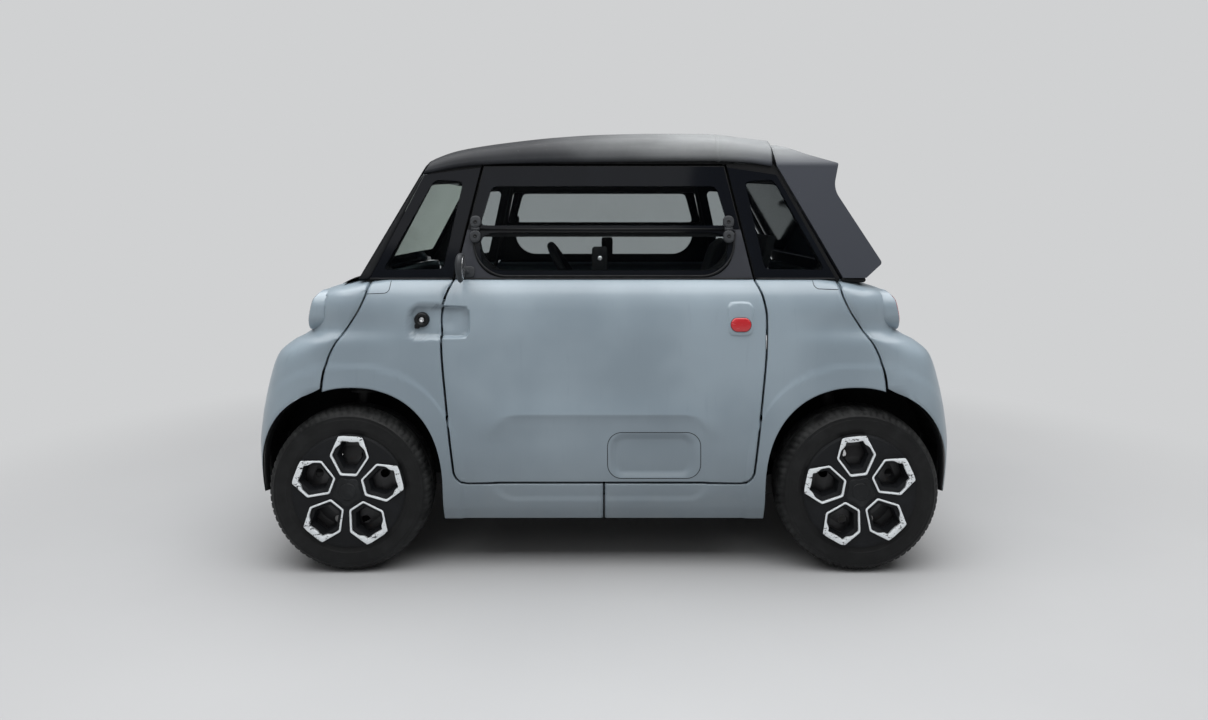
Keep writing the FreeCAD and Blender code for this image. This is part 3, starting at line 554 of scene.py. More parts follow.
def doorGrid():
    # rows at fixed heights; columns at fixed x, squeezed near each end to meet the door's edge e(z)
    z = ticks(car["doorBottom"], car["beltZ"] - 1, panelLook["pitch"],
              (319, 342, 448, 477, 540, 797, 805, 900, 915))
    widest = 548.0
    x = ticks(-widest, widest, panelLook["pitch"], (-457, 12, 47, 272, 327, 420, 504))
    turn = np.clip((352 - z) / 46, 0, 1)
    edge = np.where(z < 352, 462 + 44 * np.sqrt(1 - turn * turn), doorEdge(z))
    firm = 385.0
    far = firm + (np.abs(x)[None] - firm) * (edge[:, None] - firm) / (widest - firm)
    grid = np.where(np.abs(x)[None] > firm, np.sign(x)[None] * far, x[None])
    return leftSkin(grid, np.repeat(z[:, None], len(x), 1))


def archCurve(centre, start, stop, count):
    # points on the arch's superellipse between two angles from the level, in degrees
    a = np.radians(np.linspace(start, stop, count))
    x = centre + 318 * np.sign(np.cos(a)) * np.abs(np.cos(a)) ** (2 / 2.3)
    z = car["axleZ"] + 350 * np.sin(a) ** (2 / 2.3)
    return np.stack([x, z], axis=1)


def sidePanelGrid(side):
    # a band between an inner curve (arch and sill) and an outer one (belt, door gap, door's bottom):
    # p = inner + v (outer - inner), with both cut into the same four lengths
    gap = car["gap"]
    zDoor = np.linspace(car["beltZ"] - 1, 352, 40)
    edge = np.stack([-(doorEdge(zDoor) + gap), zDoor], axis=1)
    a = np.radians(np.linspace(0, 90, 12))
    corner = np.stack([-(462 + (44 + gap) * np.cos(a)), 352 - (46 + gap) * np.sin(a)], axis=1)
    top = car["beltZ"] - 1
    counts = (30, 70, 18, 56)
    belt = along([(-(seamReach(top) - 3), top), (-(514 + gap), top)], counts[0])
    outer = [belt, along(edge, counts[1]), along(corner, counts[2]),
             along([(-462, 299), (-car["seam"], 299)], counts[3])]
    arch = archCurve(-car["axleX"], 107.5, 74, 60)
    rest = archCurve(-car["axleX"], 74, 0.0001, 90)
    inner = [along(arch, counts[0]), along(rest, counts[1]), along([(-546, 278), (-546, 169)], counts[2]),
             along([(-546, 169), (-car["seam"], 169)], counts[3])]
    inside = np.concatenate([inner[0]] + [piece[1:] for piece in inner[1:]])
    outside = np.concatenate([outer[0]] + [piece[1:] for piece in outer[1:]])
    v = np.concatenate([[0, 0.004, 0.012, 0.024, 0.04], np.linspace(0.07, 0.93, 30),
                        [0.96, 0.976, 0.988, 0.996, 1]])
    flat = inside[None] + v[:, None, None] * (outside - inside)[None]
    # the first column follows the seam between the end panel and the side panel
    zSeam = flat[:, 0, 1]
    shift = -(seamReach(zSeam) - 3) - flat[:, 0, 0]
    fade = np.linspace(1, 0, counts[0])
    flat[:, :counts[0], 0] += shift[:, None] * fade[None]
    x = flat[..., 0] * (1 if side < 0 else -1)
    return leftSkin(x, flat[..., 1])


def endPanelGrid():
    # rows follow the profile from the lower lip to the belt; columns go round the plan outline,
    # which is straight sides, corners of radius r and a straight front
    z = ticks(car["endLipZ"], 989.5, panelLook["pitch"], (780, 800, 815, 950, 975), 3.0, 12.0)
    reach = endReach(z)
    half = sideHalf(z)
    r = car["cornerRadius"]
    high = np.clip((z - car["axleZ"]) / 350, 0, 1)
    arch = car["axleX"] + 318 * (1 - high ** 2.3) ** (1 / 2.3)
    edge = np.where(z < 619, np.maximum(arch, seamReach(z) + 3), seamReach(z) + 3)
    side = np.maximum(reach - r - edge, 0)
    lead = ticks(0, 1, 0.07, roll=False)
    lead = np.concatenate([[0, 0.008, 0.02, 0.04], lead[1:]])
    grids = []
    # how much of the corner's arc is used, where the edge already lies within it
    into = np.clip(edge - (reach - r), 0, r)
    first = np.arcsin(into / r)
    x1 = edge[:, None] + side[:, None] * lead[None]
    grids.append(np.stack([x1, np.repeat(half[:, None], len(lead), 1)], axis=-1))
    turn = first[:, None] + (np.pi / 2 - first[:, None]) * np.linspace(0, 1, 22)[None]
    x2 = (reach - r)[:, None] + r * np.sin(turn)
    y2 = (half - r)[:, None] + r * np.cos(turn)
    grids[0][..., 1] = (half - r)[:, None] + np.sqrt(r * r - np.clip(x1 - (reach - r)[:, None], 0, r) ** 2)
    grids.append(np.stack([x2, y2], axis=-1)[:, 1:])
    share = np.linspace(0, 1, 34)[1:]
    y3 = (half - r)[:, None] * (1 - share)[None]
    grids.append(np.stack([np.repeat(reach[:, None], len(share), 1), y3], axis=-1))
    quarter = np.concatenate(grids, axis=1)
    whole = np.concatenate([quarter, quarter[:, -2::-1] * np.array([1.0, -1.0])], axis=1)
    x, y = whole[..., 0], whole[..., 1]
    height = np.repeat(z[:, None], x.shape[1], 1)
    share = smooth(half[:, None] - 150, half[:, None] - 20, np.abs(y))
    y = y + np.sign(y) * creaseAt(x, height) * share
    return np.stack([x, y, height], axis=-1)


def makeBody():
    finish = bodyFinish()
    look = panelLook
    left = np.array([0.0, -1.0, 0.0])
    points, faces = shell(doorGrid(), look["wall"], left, roll=look["roll"])
    makeMesh("doorSkinLeft", points, faces, finish, "door_left", ["door_panel_left"], "body")
    makeMesh("doorSkinRight", halfTurn(points), faces, finish, "door_right", ["door_panel_right"], "body")
    for side, name, other in ((-1, "front", "rear"), (1, "rear", "front")):
        points, faces = shell(sidePanelGrid(side), look["wall"], left, roll=look["roll"])
        title = "sideSkin" + name.capitalize() + "Left"
        makeMesh(title, points, faces, finish, "root", ["side_panel_" + name + "_left"], "body")
        title = "sideSkin" + other.capitalize() + "Right"
        makeMesh(title, halfTurn(points), faces, finish, "root", ["side_panel_" + other + "_right"], "body")
    grid = endPanelGrid()
    ahead = np.array([1.0, 0.0, 0.0])
    inside = roundedBox(np.abs(grid[..., 1]), grid[..., 2], (431, 634, 818, 944, 54))
    keep = ~((inside < 0) & (grid[..., 0] > 905))
    points, faces = shell(grid, look["wall"], ahead, keep, look["roll"])
    makeMesh("endSkinRear", points, faces, finish, "root", ["rear_end_panel"], "body")
    makeMesh("endSkinFront", halfTurn(points), faces, finish, "root", ["front_end_panel"], "body")
    print("body panels made", flush=True)


makeBody()


# Roof

roofStations = [(-650, 1403, 1357), (-600, 1430, 1366), (-540, 1453, 1378), (-460, 1470, 1389),
                (-340, 1489, 1394), (-180, 1508, 1398), (0, 1520, 1400), (200, 1524, 1402),
                (380, 1523, 1403), (500, 1509, 1399), (592, 1498, 1386)]
roofDrops = [(0, 0), (250, 0.03), (450, 0.14), (530, 0.36), (560, 0.66), (569, 1)]
crownAt = monotone([s[0] for s in roofStations], [s[1] for s in roofStations])
edgeAt = monotone([s[0] for s in roofStations], [s[2] for s in roofStations])
dropAt = monotone([s[0] for s in roofDrops], [s[1] for s in roofDrops])
roofShape = {"wall": 16.0, "groove": 3.0, "grooveX": 404.0, "rib": 1.6}


def roofAt(x, y):
    # z = crown(x) - drop(|y|) (crown - edge), less a groove across the roof where its rear part begins
    far = np.abs(y)
    z = crownAt(x) - dropAt(far) * (crownAt(x) - edgeAt(x))
    groove = np.exp(-((x - roofShape["grooveX"]) / 5.0) ** 2)
    swage = smooth(7, 0, np.abs(far - 330) - 6) * smooth(-430, -380, x) * smooth(340, 290, x)
    return z - roofShape["groove"] * groove - roofShape["rib"] * swage


def screenReach(z):
    # how far ahead the windscreen's side edge stands
    return 862 + (z - 966) / (1417 - 966) * (605 - 862)


def glassHalf(z):
    return 622 - (622 - 560) / (1394 - 992) * (z - 992)


def screenPlace(z, y):
    # x = -reach(z) - bow (1 - (y / 640)^2)
    return -screenReach(z) - 24 * (1 - (y / 640) ** 2)


def screenTop(y):
    # where the screen's outer face meets the roof's surface, by repeated substitution
    z = np.full(np.shape(y), 1395.0)
    for turn in range(12):
        z = 0.5 * z + 0.5 * roofAt(np.maximum(screenPlace(z, y), -649), y)
    return z


def roofGrid():
    dense = np.concatenate([np.linspace(0, 500, 60), np.linspace(503, 569, 60)])
    line = along(np.stack([dense, -dropAt(dense) * 115], axis=1), 74)[:, 0]
    line = np.unique(np.concatenate([line, [322, 325, 328, 332, 335, 338]]))
    y = np.concatenate([-line[::-1], line[1:]])
    x = ticks(-640, 592, 11.0, (roofShape["grooveX"],), 2.5, 10.0)
    gx, gy = np.meshgrid(x, y, indexing="ij")
    # the front rows are squeezed to begin just behind the windscreen
    first = screenPlace(screenTop(y), y) + 8.0
    firm = -480.0
    squeezed = firm + (gx - firm) * (first[None] - firm) / (-640 - firm)
    gx = np.where(gx < firm, squeezed, gx)
    return np.stack([gx, gy, roofAt(gx, gy)], axis=-1)


def screenGrid():
    # from the belt up to the roof's edge
    v = np.linspace(0, 1, 26)
    u = np.linspace(-1, 1, 41)
    top = screenTop(u * (glassHalf(1395) - 3)) + 1.5
    z = 992 + v[:, None] * (top[None] - 992)
    y = u[None] * (glassHalf(z) - 3)
    return np.stack([screenPlace(z, y), y, z], axis=-1)


def pillarGrid():
    # the screen pillar's cover, from the quarter pane's front edge to the screen's side edge, bowed out
    # by 3 sin(pi t)
    z = np.linspace(991, 1350, 30)[:, None]
    t = np.linspace(0, 1, 9)[None]
    inner = -808 + (z - 992) * (808 - 631) / 360 - 0.5
    outer = -screenReach(z) - 0.5
    x = inner + (outer - inner) * t
    y = -glassHalf(z) + 4.5 * t ** 2 - 3 * np.sin(np.pi * t)
    return np.stack([x, y, z + 0 * t], axis=-1)


def quadMask(corners, radius):
    # clear inside a four-sided outline with rounded corners; the corners run anticlockwise, in metres,
    # as (across, height). d = smooth least of the distances to the four sides
    def mask(f):
        x, y, z = f.axes()
        across = y if radius < 0 else x
        best = None
        size = abs(radius)
        for i, (a, b) in enumerate(corners):
            c, d = corners[(i + 1) % len(corners)]
            length = math.hypot(c - a, d - b)
            nx, nz = -(d - b) / length, (c - a) / length
            far = across * nx + z * nz - (a * nx + b * nz)
            if best is None:
                best = far
            else:
                best = f.add("ShaderNodeMath", {"operation": "SMOOTH_MIN"}, {0: best, 1: far, 2: size})
        return best.step(0.0, 0.004)
    return mask


def bothMasks(first, second):
    def mask(f):
        return first(f).most(second(f))
    return mask


def addBevel(thing, width, segments=2, angle=35.0):
    soften = thing.modifiers.new("edges", "BEVEL")
    soften.width = width
    soften.segments = segments
    soften.limit_method = "ANGLE"
    soften.angle_limit = math.radians(angle)
    soften.harden_normals = False


def paint(thing, finish):
    if thing.material_slots:
        for place in thing.material_slots:
            place.material = finish
    else:
        thing.data.materials.append(finish)


def makeCabin():
    grained = roofFinish()
    points, faces = shell(roofGrid(), roofShape["wall"], np.array([0.0, 0.0, 1.0]), roll=5.0)
    makeMesh("roofSkin", points, faces, grained, "root", ["roof_panel"], "roof_plastic")
    points, faces = shell(screenGrid(), 5.0, np.array([-1.0, 0.0, 0.3]), roll=1.5)
    front = [(-0.532, 1.045), (0.532, 1.045), (0.484, 1.345), (-0.484, 1.345)]
    screen = glassFinish("screenGlass", quadMask(front, -0.03), (0.85, 0.90, 0.86, 1.0), 1.5, 0.42)
    makeMesh("screenPane", points, faces, screen, "root", ["windscreen"], "glass")
    points, faces = shell(pillarGrid(), 5.0, np.array([-0.4, -1.0, 0.2]), roll=1.0)
    sheath = trimFinish("pillarTrim", (12, 14, 17), (27, 29, 33), 0.4, 700.0, 0.00006)
    mirroredPair("screenPillar", (points, faces), sheath, ("root", "root"), "trim_black")
    rear = [(-0.535, 1.075), (0.535, 1.075), (0.49, 1.345), (-0.49, 1.345)]
    paint(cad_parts["rear_window"], glassFinish("rearGlass", quadMask(rear, -0.04), grazing=2.6))
    upper = [(-0.434, 1.172), (0.434, 1.172), (0.394, 1.314), (-0.394, 1.314)]
    lower = [(-0.425, 1.017), (0.425, 1.017), (0.438, 1.152), (-0.438, 1.152)]
    doors = glassFinish("doorGlass", bothMasks(quadMask(upper, 0.03), quadMask(lower, 0.09)))
    for side in ("left", "right"):
        paint(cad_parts["door_windows_" + side], doors)
    ahead = [(-0.767, 1.019), (-0.554, 1.022), (-0.492, 1.331), (-0.596, 1.338)]
    behind = [(0.554, 1.022), (0.767, 1.019), (0.596, 1.338), (0.492, 1.331)]
    sides = glassFinish("quarterGlass", bothMasks(quadMask(ahead, 0.03), quadMask(behind, 0.03)))
    paint(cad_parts["quarter_windows"], sides)
    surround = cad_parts["rear_window_surround"]
    paint(surround, grained)
    addBevel(surround, 0.005, 3)
    print("cabin made", flush=True)


makeCabin()


# Wheels

tyreLook = {"steps": 350, "pitches": 70, "groove": 5.0, "slot": 4.0,
            "ribs": ((191, 2.2, 2.6), (209, 1.1, 2.0), (240, 0.9, 1.6), (252, 1.8, 2.0))}
tyreSection = [(179.5, -58), (186, -66), (198, -72.5), (214, -76), (232, -77.5), (247, -75.5), (251, -74.5),
               (258, -70.5), (266, -63), (272, -54), (275.5, -40), (277.6, -22), (278.4, 0)]


def tyreRing():
    # the section (r, y) turned about the axle: x = r cos a, z = r sin a, with r lowered by the grooves
    # at y = 0 and +-27 and by slots across the shoulders, one each 360 / pitches degrees
    half = np.array(tyreSection, float)
    whole = np.concatenate([half, half[-2::-1] * np.array([1.0, -1.0])])
    r, y = along(whole, 420).T
    steps = tyreLook["steps"]
    even = np.linspace(0, 419, 47).astype(int)
    extra = [np.argmin(np.abs(y - g) + (r < 265) * 999) for g in
             (-30.5, -29.5, -24.5, -23.5, -3.2, -2.2, 2.2, 3.2, 23.5, 24.5, 29.5, 30.5)]
    nearest = [np.argmin(np.abs(r - place - wide * off) + (y * hand < 40) * 999)
               for place, high, wide in tyreLook["ribs"]
               for off in (-1.6, -0.8, 0, 0.8, 1.6) for hand in (-1, 1)]
    pick = np.unique(np.concatenate([even, extra, nearest]))
    r, y = r[pick], y[pick]
    a = np.linspace(0, 2 * np.pi, steps, endpoint=False)
    cut = np.zeros_like(y)
    for middle in (-27, 0, 27):
        cut = np.maximum(cut, smooth(3.3, 2.3, np.abs(y - middle)) * (r > 262))
    turn = a[:, None] * tyreLook["pitches"] / (2 * np.pi) + 0.012 * np.abs(y)[None]
    phase = np.abs((turn % 1.0) - 0.5)
    shoulder = smooth(31, 34, np.abs(y)) * smooth(254, 262, r)
    middle = smooth(24, 21, np.abs(y)) * smooth(3.4, 5, np.abs(y)) * (r > 262)
    slot = smooth(0.16, 0.10, phase) * np.maximum(shoulder, 0.6 * middle)[None]
    rib = sum(high * np.exp(-((r - place) / wide) ** 2) for place, high, wide in tyreLook["ribs"])
    depth = np.maximum(tyreLook["groove"] * cut[None], tyreLook["slot"] * slot)
    out = r[None] - depth
    side = np.sign(y) * rib
    points = np.stack([out * np.cos(a)[:, None], np.repeat((y + side)[None], steps, 0),
                       out * np.sin(a)[:, None]], axis=-1)
    faces = quads(steps + 1, len(y), ringed=True) % (steps * len(y))
    marks = np.tile(smooth(252, 264, r), steps)
    return points.reshape(-1, 3), faces, marks


hexCorners = [(58, -26), (58, 26), (119, 62), (184, 38), (184, -38), (119, -62)]


def hexOutline(grow, count=16, radius=9.0):
    # the rounded hexagon (radial, across), grown by a distance from its own middle
    corners = np.array(hexCorners, float)
    middle = np.array([121.0, 0.0])
    size = np.linalg.norm(corners - middle, axis=1, keepdims=True)
    corners = middle + (corners - middle) * (size + grow) / size
    points = []
    for i in range(6):
        p = corners[i]
        before = (corners[i - 1] - p) / np.linalg.norm(corners[i - 1] - p)
        after = (corners[(i + 1) % 6] - p) / np.linalg.norm(corners[(i + 1) % 6] - p)
        half = math.acos(np.clip(before @ after, -1, 1)) / 2
        reach = radius / math.tan(half)
        t = np.linspace(0, 1, 6)[:, None]
        start, stop = p + before * reach, p + after * reach
        points.append((1 - t) ** 2 * start + 2 * t * (1 - t) * p + t * t * stop)
    ring = np.concatenate(points)
    ring = np.concatenate([ring, ring[:1]])
    return along(ring, count * 6 + 1)[:-1]


ringLook = {"rim": 189.5, "out": 4.6, "thin": 2.4, "thick": 13.0, "face": -82.6, "swell": 1.6}


def coverRings(firstAngle):
    # painted bands round the five tunnels' mouths, wider at the outer edge. At each place the band runs
    # from the grown hexagon inwards by thin + thick (how near the rim), bulging by swell sin(pi s),
    # then turns down into the tunnel.
    look = ringLook
    mouth = hexOutline(0.0)
    outer = hexOutline(look["out"])
    far = np.linalg.norm(outer, axis=1, keepdims=True)
    outer *= np.minimum(1.0, look["rim"] / far)
    middle = np.array([121.0, 0.0])
    size = np.linalg.norm(mouth - middle, axis=1, keepdims=True)
    inset = look["thin"] + look["thick"] * smooth(140, 176, mouth[:, :1])
    inner = middle + (mouth - middle) * (1 - inset / size)
    s = np.array([0, 0, 0.04, 0.12, 0.3, 0.5, 0.7, 0.88, 0.96, 1.0, 1.0, 1.0])[:, None]
    y = look["face"] - look["swell"] * np.sin(np.pi * np.clip(s, 0.05, 0.95)) ** 0.5
    y[0], y[1], y[-2], y[-1] = -78.0, look["face"], look["face"], -71.5
    band = outer[None] + s[..., None] * (inner - outer)[None]
    sets, faces = [], []
    count = band.shape[1]
    for i in range(5):
        angle = math.radians(firstAngle + 72 * i)
        x = band[..., 0] * math.cos(angle) - band[..., 1] * math.sin(angle)
        z = band[..., 0] * math.sin(angle) + band[..., 1] * math.cos(angle)
        depth = np.repeat(y, count, 1)
        faces.append(quads(len(s) + 1, count, ringed=True) % (len(s) * count) + i * len(s) * count)
        sets.append(np.stack([x, depth, z], axis=-1).reshape(-1, 3))
    marks = np.tile(np.repeat(smooth(138, 170, mouth[:, 0])[None], len(s), 0).ravel(), 5)
    return np.concatenate(sets), np.concatenate(faces)[:, ::-1], marks


def hubDish(firstAngle):
    # low five-lobed dish round the axle and a plain round cap on it, as (r, a) with
    # r = reach(s) (1 + 0.10 cos 5a) for the dish; the lobes run between the tunnels
    a = np.linspace(0, 2 * np.pi, 120, endpoint=False)
    dish = [(46, -81.6), (45.4, -82.8), (43.5, -83.5), (40, -83.8), (31, -83.9), (30, -83.5), (29.4, -82.9)]
    cap = [(28.6, -82.9), (28.4, -83.9), (27, -84.6), (22, -84.9), (10, -84.3), (2, -84.2)]
    rows = np.array(dish + cap)
    lobes = np.where(rows[:, :1] > 29, 1 + 0.10 * np.cos(5 * (a - math.radians(firstAngle + 36)))[None], 1.0)
    r = rows[:, :1] * lobes
    points = np.stack([r * np.cos(a), np.repeat(rows[:, 1:], len(a), 1), r * np.sin(a)], axis=-1)
    return capped(points)


def makeWheels():
    rubber = tyreFinish()
    silver = silverFinish()
    black = trimFinish("coverPlastic", (20, 22, 24), (52, 54, 56), 0.4, 700.0, 0.0001)
    tread, treadFaces, worn = tyreRing()
    for end, sign, first in (("front", -1, 87.0), ("rear", 1, 96.5)):
        rings, ringFaces, marks = coverRings(first)
        hub, hubFaces = hubDish(first)
        for side, hand in (("left", -1), ("right", 1)):
            name = end + "_" + side
            title = end.capitalize() + side.capitalize()
            middle = np.array([sign * car["axleX"], hand * car["wheelY"], car["axleZ"]])
            turned = tread if hand < 0 else halfTurn(tread)
            makeMesh("tread" + title, turned + middle, treadFaces, rubber, "wheel_" + name, ["tyre_" + name],
                     "tyre", worn)
            turned = rings if hand < 0 else halfTurn(rings)
            makeMesh("rings" + title, turned + middle, ringFaces, silver, "wheel_" + name, (),
                     "trim_black", marks)
            turned = hub if hand < 0 else halfTurn(hub)
            makeMesh("hubDish" + title, turned + middle, hubFaces, black, "wheel_" + name, (), "trim_black")
    print("wheels made", flush=True)


makeWheels()


# Small pieces

def joined(parts):
    # several (points, faces) become one; faces may hold quads and triangles
    points, sets, start = [], {3: [], 4: []}, 0
    for p, faces in parts:
        for f in faces if isinstance(faces, list) else [faces]:
            sets[f.shape[1]].append(f + start)
        points.append(p)
        start += len(p)
    return np.concatenate(points), [np.concatenate(sets[k]) for k in (3, 4) if sets[k]]


def spun(section, steps=40, stretch=(1.0, 1.0)):
    # (r, w) points turned about w; an end away from the axis gets a flat cap
    section = np.array(section, float)
    a = np.linspace(0, 2 * np.pi, steps, endpoint=False)
    first, last = section[0], section[-1]
    body = section[section[:, 0] > 0]
    rings = np.stack([body[:, :1] * np.cos(a) * stretch[0], body[:, :1] * np.sin(a) * stretch[1],
                      np.repeat(body[:, 1:], steps, 1)], axis=-1)
    points, faces = capped(rings)
    points[-2:, 2] = first[1], last[1]
    return points, faces


def padFrom(outline, levels):
    # a pad from an outline (u, v): one ring per level (inset, w), closed at the top and the bottom.
    # Each ring is the outline moved inwards along its own normals.
    outline = np.asarray(outline, float)
    ahead = np.roll(outline, -1, axis=0) - np.roll(outline, 1, axis=0)
    ahead /= np.linalg.norm(ahead, axis=1, keepdims=True)
    inward = np.stack([-ahead[:, 1], ahead[:, 0]], axis=1)
    rings = []
    for inset, w in levels:
        flat = outline + inward * inset
        rings.append(np.concatenate([flat, np.full((len(flat), 1), w)], axis=1))
    return capped(np.stack(rings))


def roundOutline(x0, x1, z0, z1, radius, count=8):
    # anticlockwise outline of a box with round corners
    points = []
    for cx, cz, start in ((x1 - radius, z0 + radius, -90), (x1 - radius, z1 - radius, 0),
                          (x0 + radius, z1 - radius, 90), (x0 + radius, z0 + radius, 180)):
        a = np.radians(np.linspace(start, start + 90, count))
        points.append(np.stack([cx + radius * np.cos(a), cz + radius * np.sin(a)], axis=1))
    return np.concatenate(points)


def onSide(part, lift=0.0):
    # (u, v, w) of a part to the left skin: x = u, z = v, y = -(skin(u, v) + w + lift)
    points, faces = part
    skin = leftSkin(points[:, 0], points[:, 1])
    skin[:, 1] -= points[:, 2] + lift
    return skin, faces


def onFlat(part, x, y, z):
    # (u, v, w) to a level-standing plane: w outward on the left
    points, faces = part
    return np.stack([x + points[:, 0], y - points[:, 2], z + points[:, 1]], axis=1), faces


lean = math.atan((622 - 560) / (1394 - 992))


def onGlass(part, x=0.0, z=0.0):
    # (u, v, w) to the left glass plane: v up along the pane, w outward
    points, faces = part
    u, v, w = points.T
    y = -glassHalf(z) + v * math.sin(lean) - w * math.cos(lean)
    return np.stack([x + u, y, z + v * math.cos(lean) + w * math.sin(lean)], axis=1), faces


def glassPoint(x, z, w=0.0):
    return np.array([x, -glassHalf(z) - w * math.cos(lean), z + w * math.sin(lean)])


def tube(path, radius, sides=10, closed=False):
    # a round section swept along points; its frame turns with the path by the least rotation
    path = np.asarray(path, float)
    count = len(path)
    if closed:
        ahead = np.roll(path, -1, axis=0) - np.roll(path, 1, axis=0)
    else:
        ahead = np.gradient(path, axis=0)
    ahead /= np.linalg.norm(ahead, axis=1, keepdims=True)
    steady = np.array([0.0, 0.0, 1.0]) if np.abs(ahead[:, 2]).max() < 0.95 else np.array([0.31, 0.93, 0.2])
    side = np.cross(ahead, steady)
    side /= np.linalg.norm(side, axis=1, keepdims=True)
    up = np.cross(side, ahead)
    a = np.linspace(0, 2 * np.pi, sides, endpoint=False)
    ring = side[:, None] * np.cos(a)[None, :, None] + up[:, None] * np.sin(a)[None, :, None]
    points = (path[:, None] + radius * ring).reshape(-1, 3)
    rows = count + 1 if closed else count
    faces = quads(rows, sides, ringed=True)[:, ::-1] % (count * sides)
    sets = [faces]
    if not closed:
        ends = np.arange(sides)
        points = np.concatenate([points, path[[0, -1]]])
        near = np.stack([np.full(sides, count * sides), ends, (ends + 1) % sides], axis=1)
        far = np.stack([np.full(sides, count * sides + 1), (ends + 1) % sides, ends], axis=1)
        sets.append(np.concatenate([near, far + np.array([0, 1, 1]) * (count - 1) * sides]))
    return points, sets


def ribbon(line, width, lift, closed=False):
    # a flat band along a line (x, z) on the left skin
    line = np.asarray(line, float)
    if closed:
        ahead = np.roll(line, -1, axis=0) - np.roll(line, 1, axis=0)
    else:
        ahead = np.gradient(line, axis=0)
    ahead /= np.linalg.norm(ahead, axis=1, keepdims=True)
    side = np.stack([-ahead[:, 1], ahead[:, 0]], axis=1) * width / 2
    rows = np.stack([line - side, line - side, line + side, line + side])
    points = leftSkin(rows[..., 0], rows[..., 1])
    points[..., 1] -= np.array([-0.4, lift, lift, -0.4])[:, None]
    count = len(line)
    faces = quads(5, count, ringed=closed) % (4 * count)
    if not closed:
        foot = np.arange(4) * count
        faces = np.concatenate([faces, foot[None], foot[None, ::-1] + count - 1])
    return points.reshape(-1, 3), faces


def bothSides(name, part, finish, bodies, slot=None, stands=((), ())):
    # the left piece and its half-turned twin on the right
    points, faces = part
    makeMesh(name + "Left", points, faces, finish, bodies[0], stands[0], slot)
    makeMesh(name + "Right", halfTurn(points), faces, finish, bodies[1], stands[1], slot)


doorBodies = ("door_left", "door_right")
rootBodies = ("root", "root")


def redFinish():
    # clear red reflector plastic, scratched
    f = Finish("reflectorRed", Coat_Weight=0.6, Coat_Roughness=0.12)
    scratch = f.noise(26, 4, 0.6, f.stretched(1.0, 1.0, 9.0)).step(0.62, 0.68)
    f.colour(f.mix(scratch * 0.5, linear(178, 28, 36), linear(224, 150, 150)))
    f.rough(0.22 + 0.3 * scratch)
    f.bump(f.cells(330.0), 0.0002)
    return f.material


def brightFinish(name="brightMetal"):
    return gritFinish(name, (150, 4, 0.6), (196, 198, 200), (226, 227, 228), (0.3, 0.8), 0.18, 0.2, 0.00005,
                      Metallic=1.0)


def makeLocks(black, bright):
    # a round escutcheon with a turned bowl, its plug, and a lug at the lower left
    y = -(wallAt(np.array(-619.0), np.array(855.0)) - 20.0)
    ring = spun([(0, 6), (9, 6), (9.6, 9), (12, 9.6), (13, 12.5), (16, 14), (20, 13.6), (24, 11), (25.5, 7),
                 (26, -4)][::-1], 56)
    lug = padFrom(roundOutline(-9, 9, -8, 8, 5), [(0, -4), (0, 6), (0.8, 8.2), (2.5, 9)])
    lug = (lug[0] + np.array([-16.0, -22.0, 0]), lug[1])
    part = joined([onFlat(ring, -619, y, 855), onFlat(lug, -619, y, 855)])
    bothSides("lockRing", part, black, rootBodies, "trim_black")
    plug = spun([(0, 10.2), (3.0, 10.2), (3.2, 11.2), (7.2, 11.2), (8.8, 10), (9.0, 5)][::-1], 40)
    bothSides("lockPlug", onFlat(plug, -619, y, 855), bright, rootBodies)


def makeButton(red, black):
    # the oval reflector button on its boss, with a fine black frame
    outline = roundOutline(428, 496, 818, 864, 22.5, 12)
    pad = padFrom(outline, [(0, -2), (0, 2.4), (0.7, 3.6), (2.4, 4.6), (5, 5.2), (12, 5.6)])
    stands = (["door_fittings_left"], ["door_fittings_right"])
    bothSides("doorButton", onSide(pad), red, doorBodies, None, stands)
    frameLine = along(np.concatenate([outline, outline[:1]]), 80)[:-1]
    bothSides("buttonFrame", ribbon(frameLine, 3.0, 0.7, True), black, doorBodies)


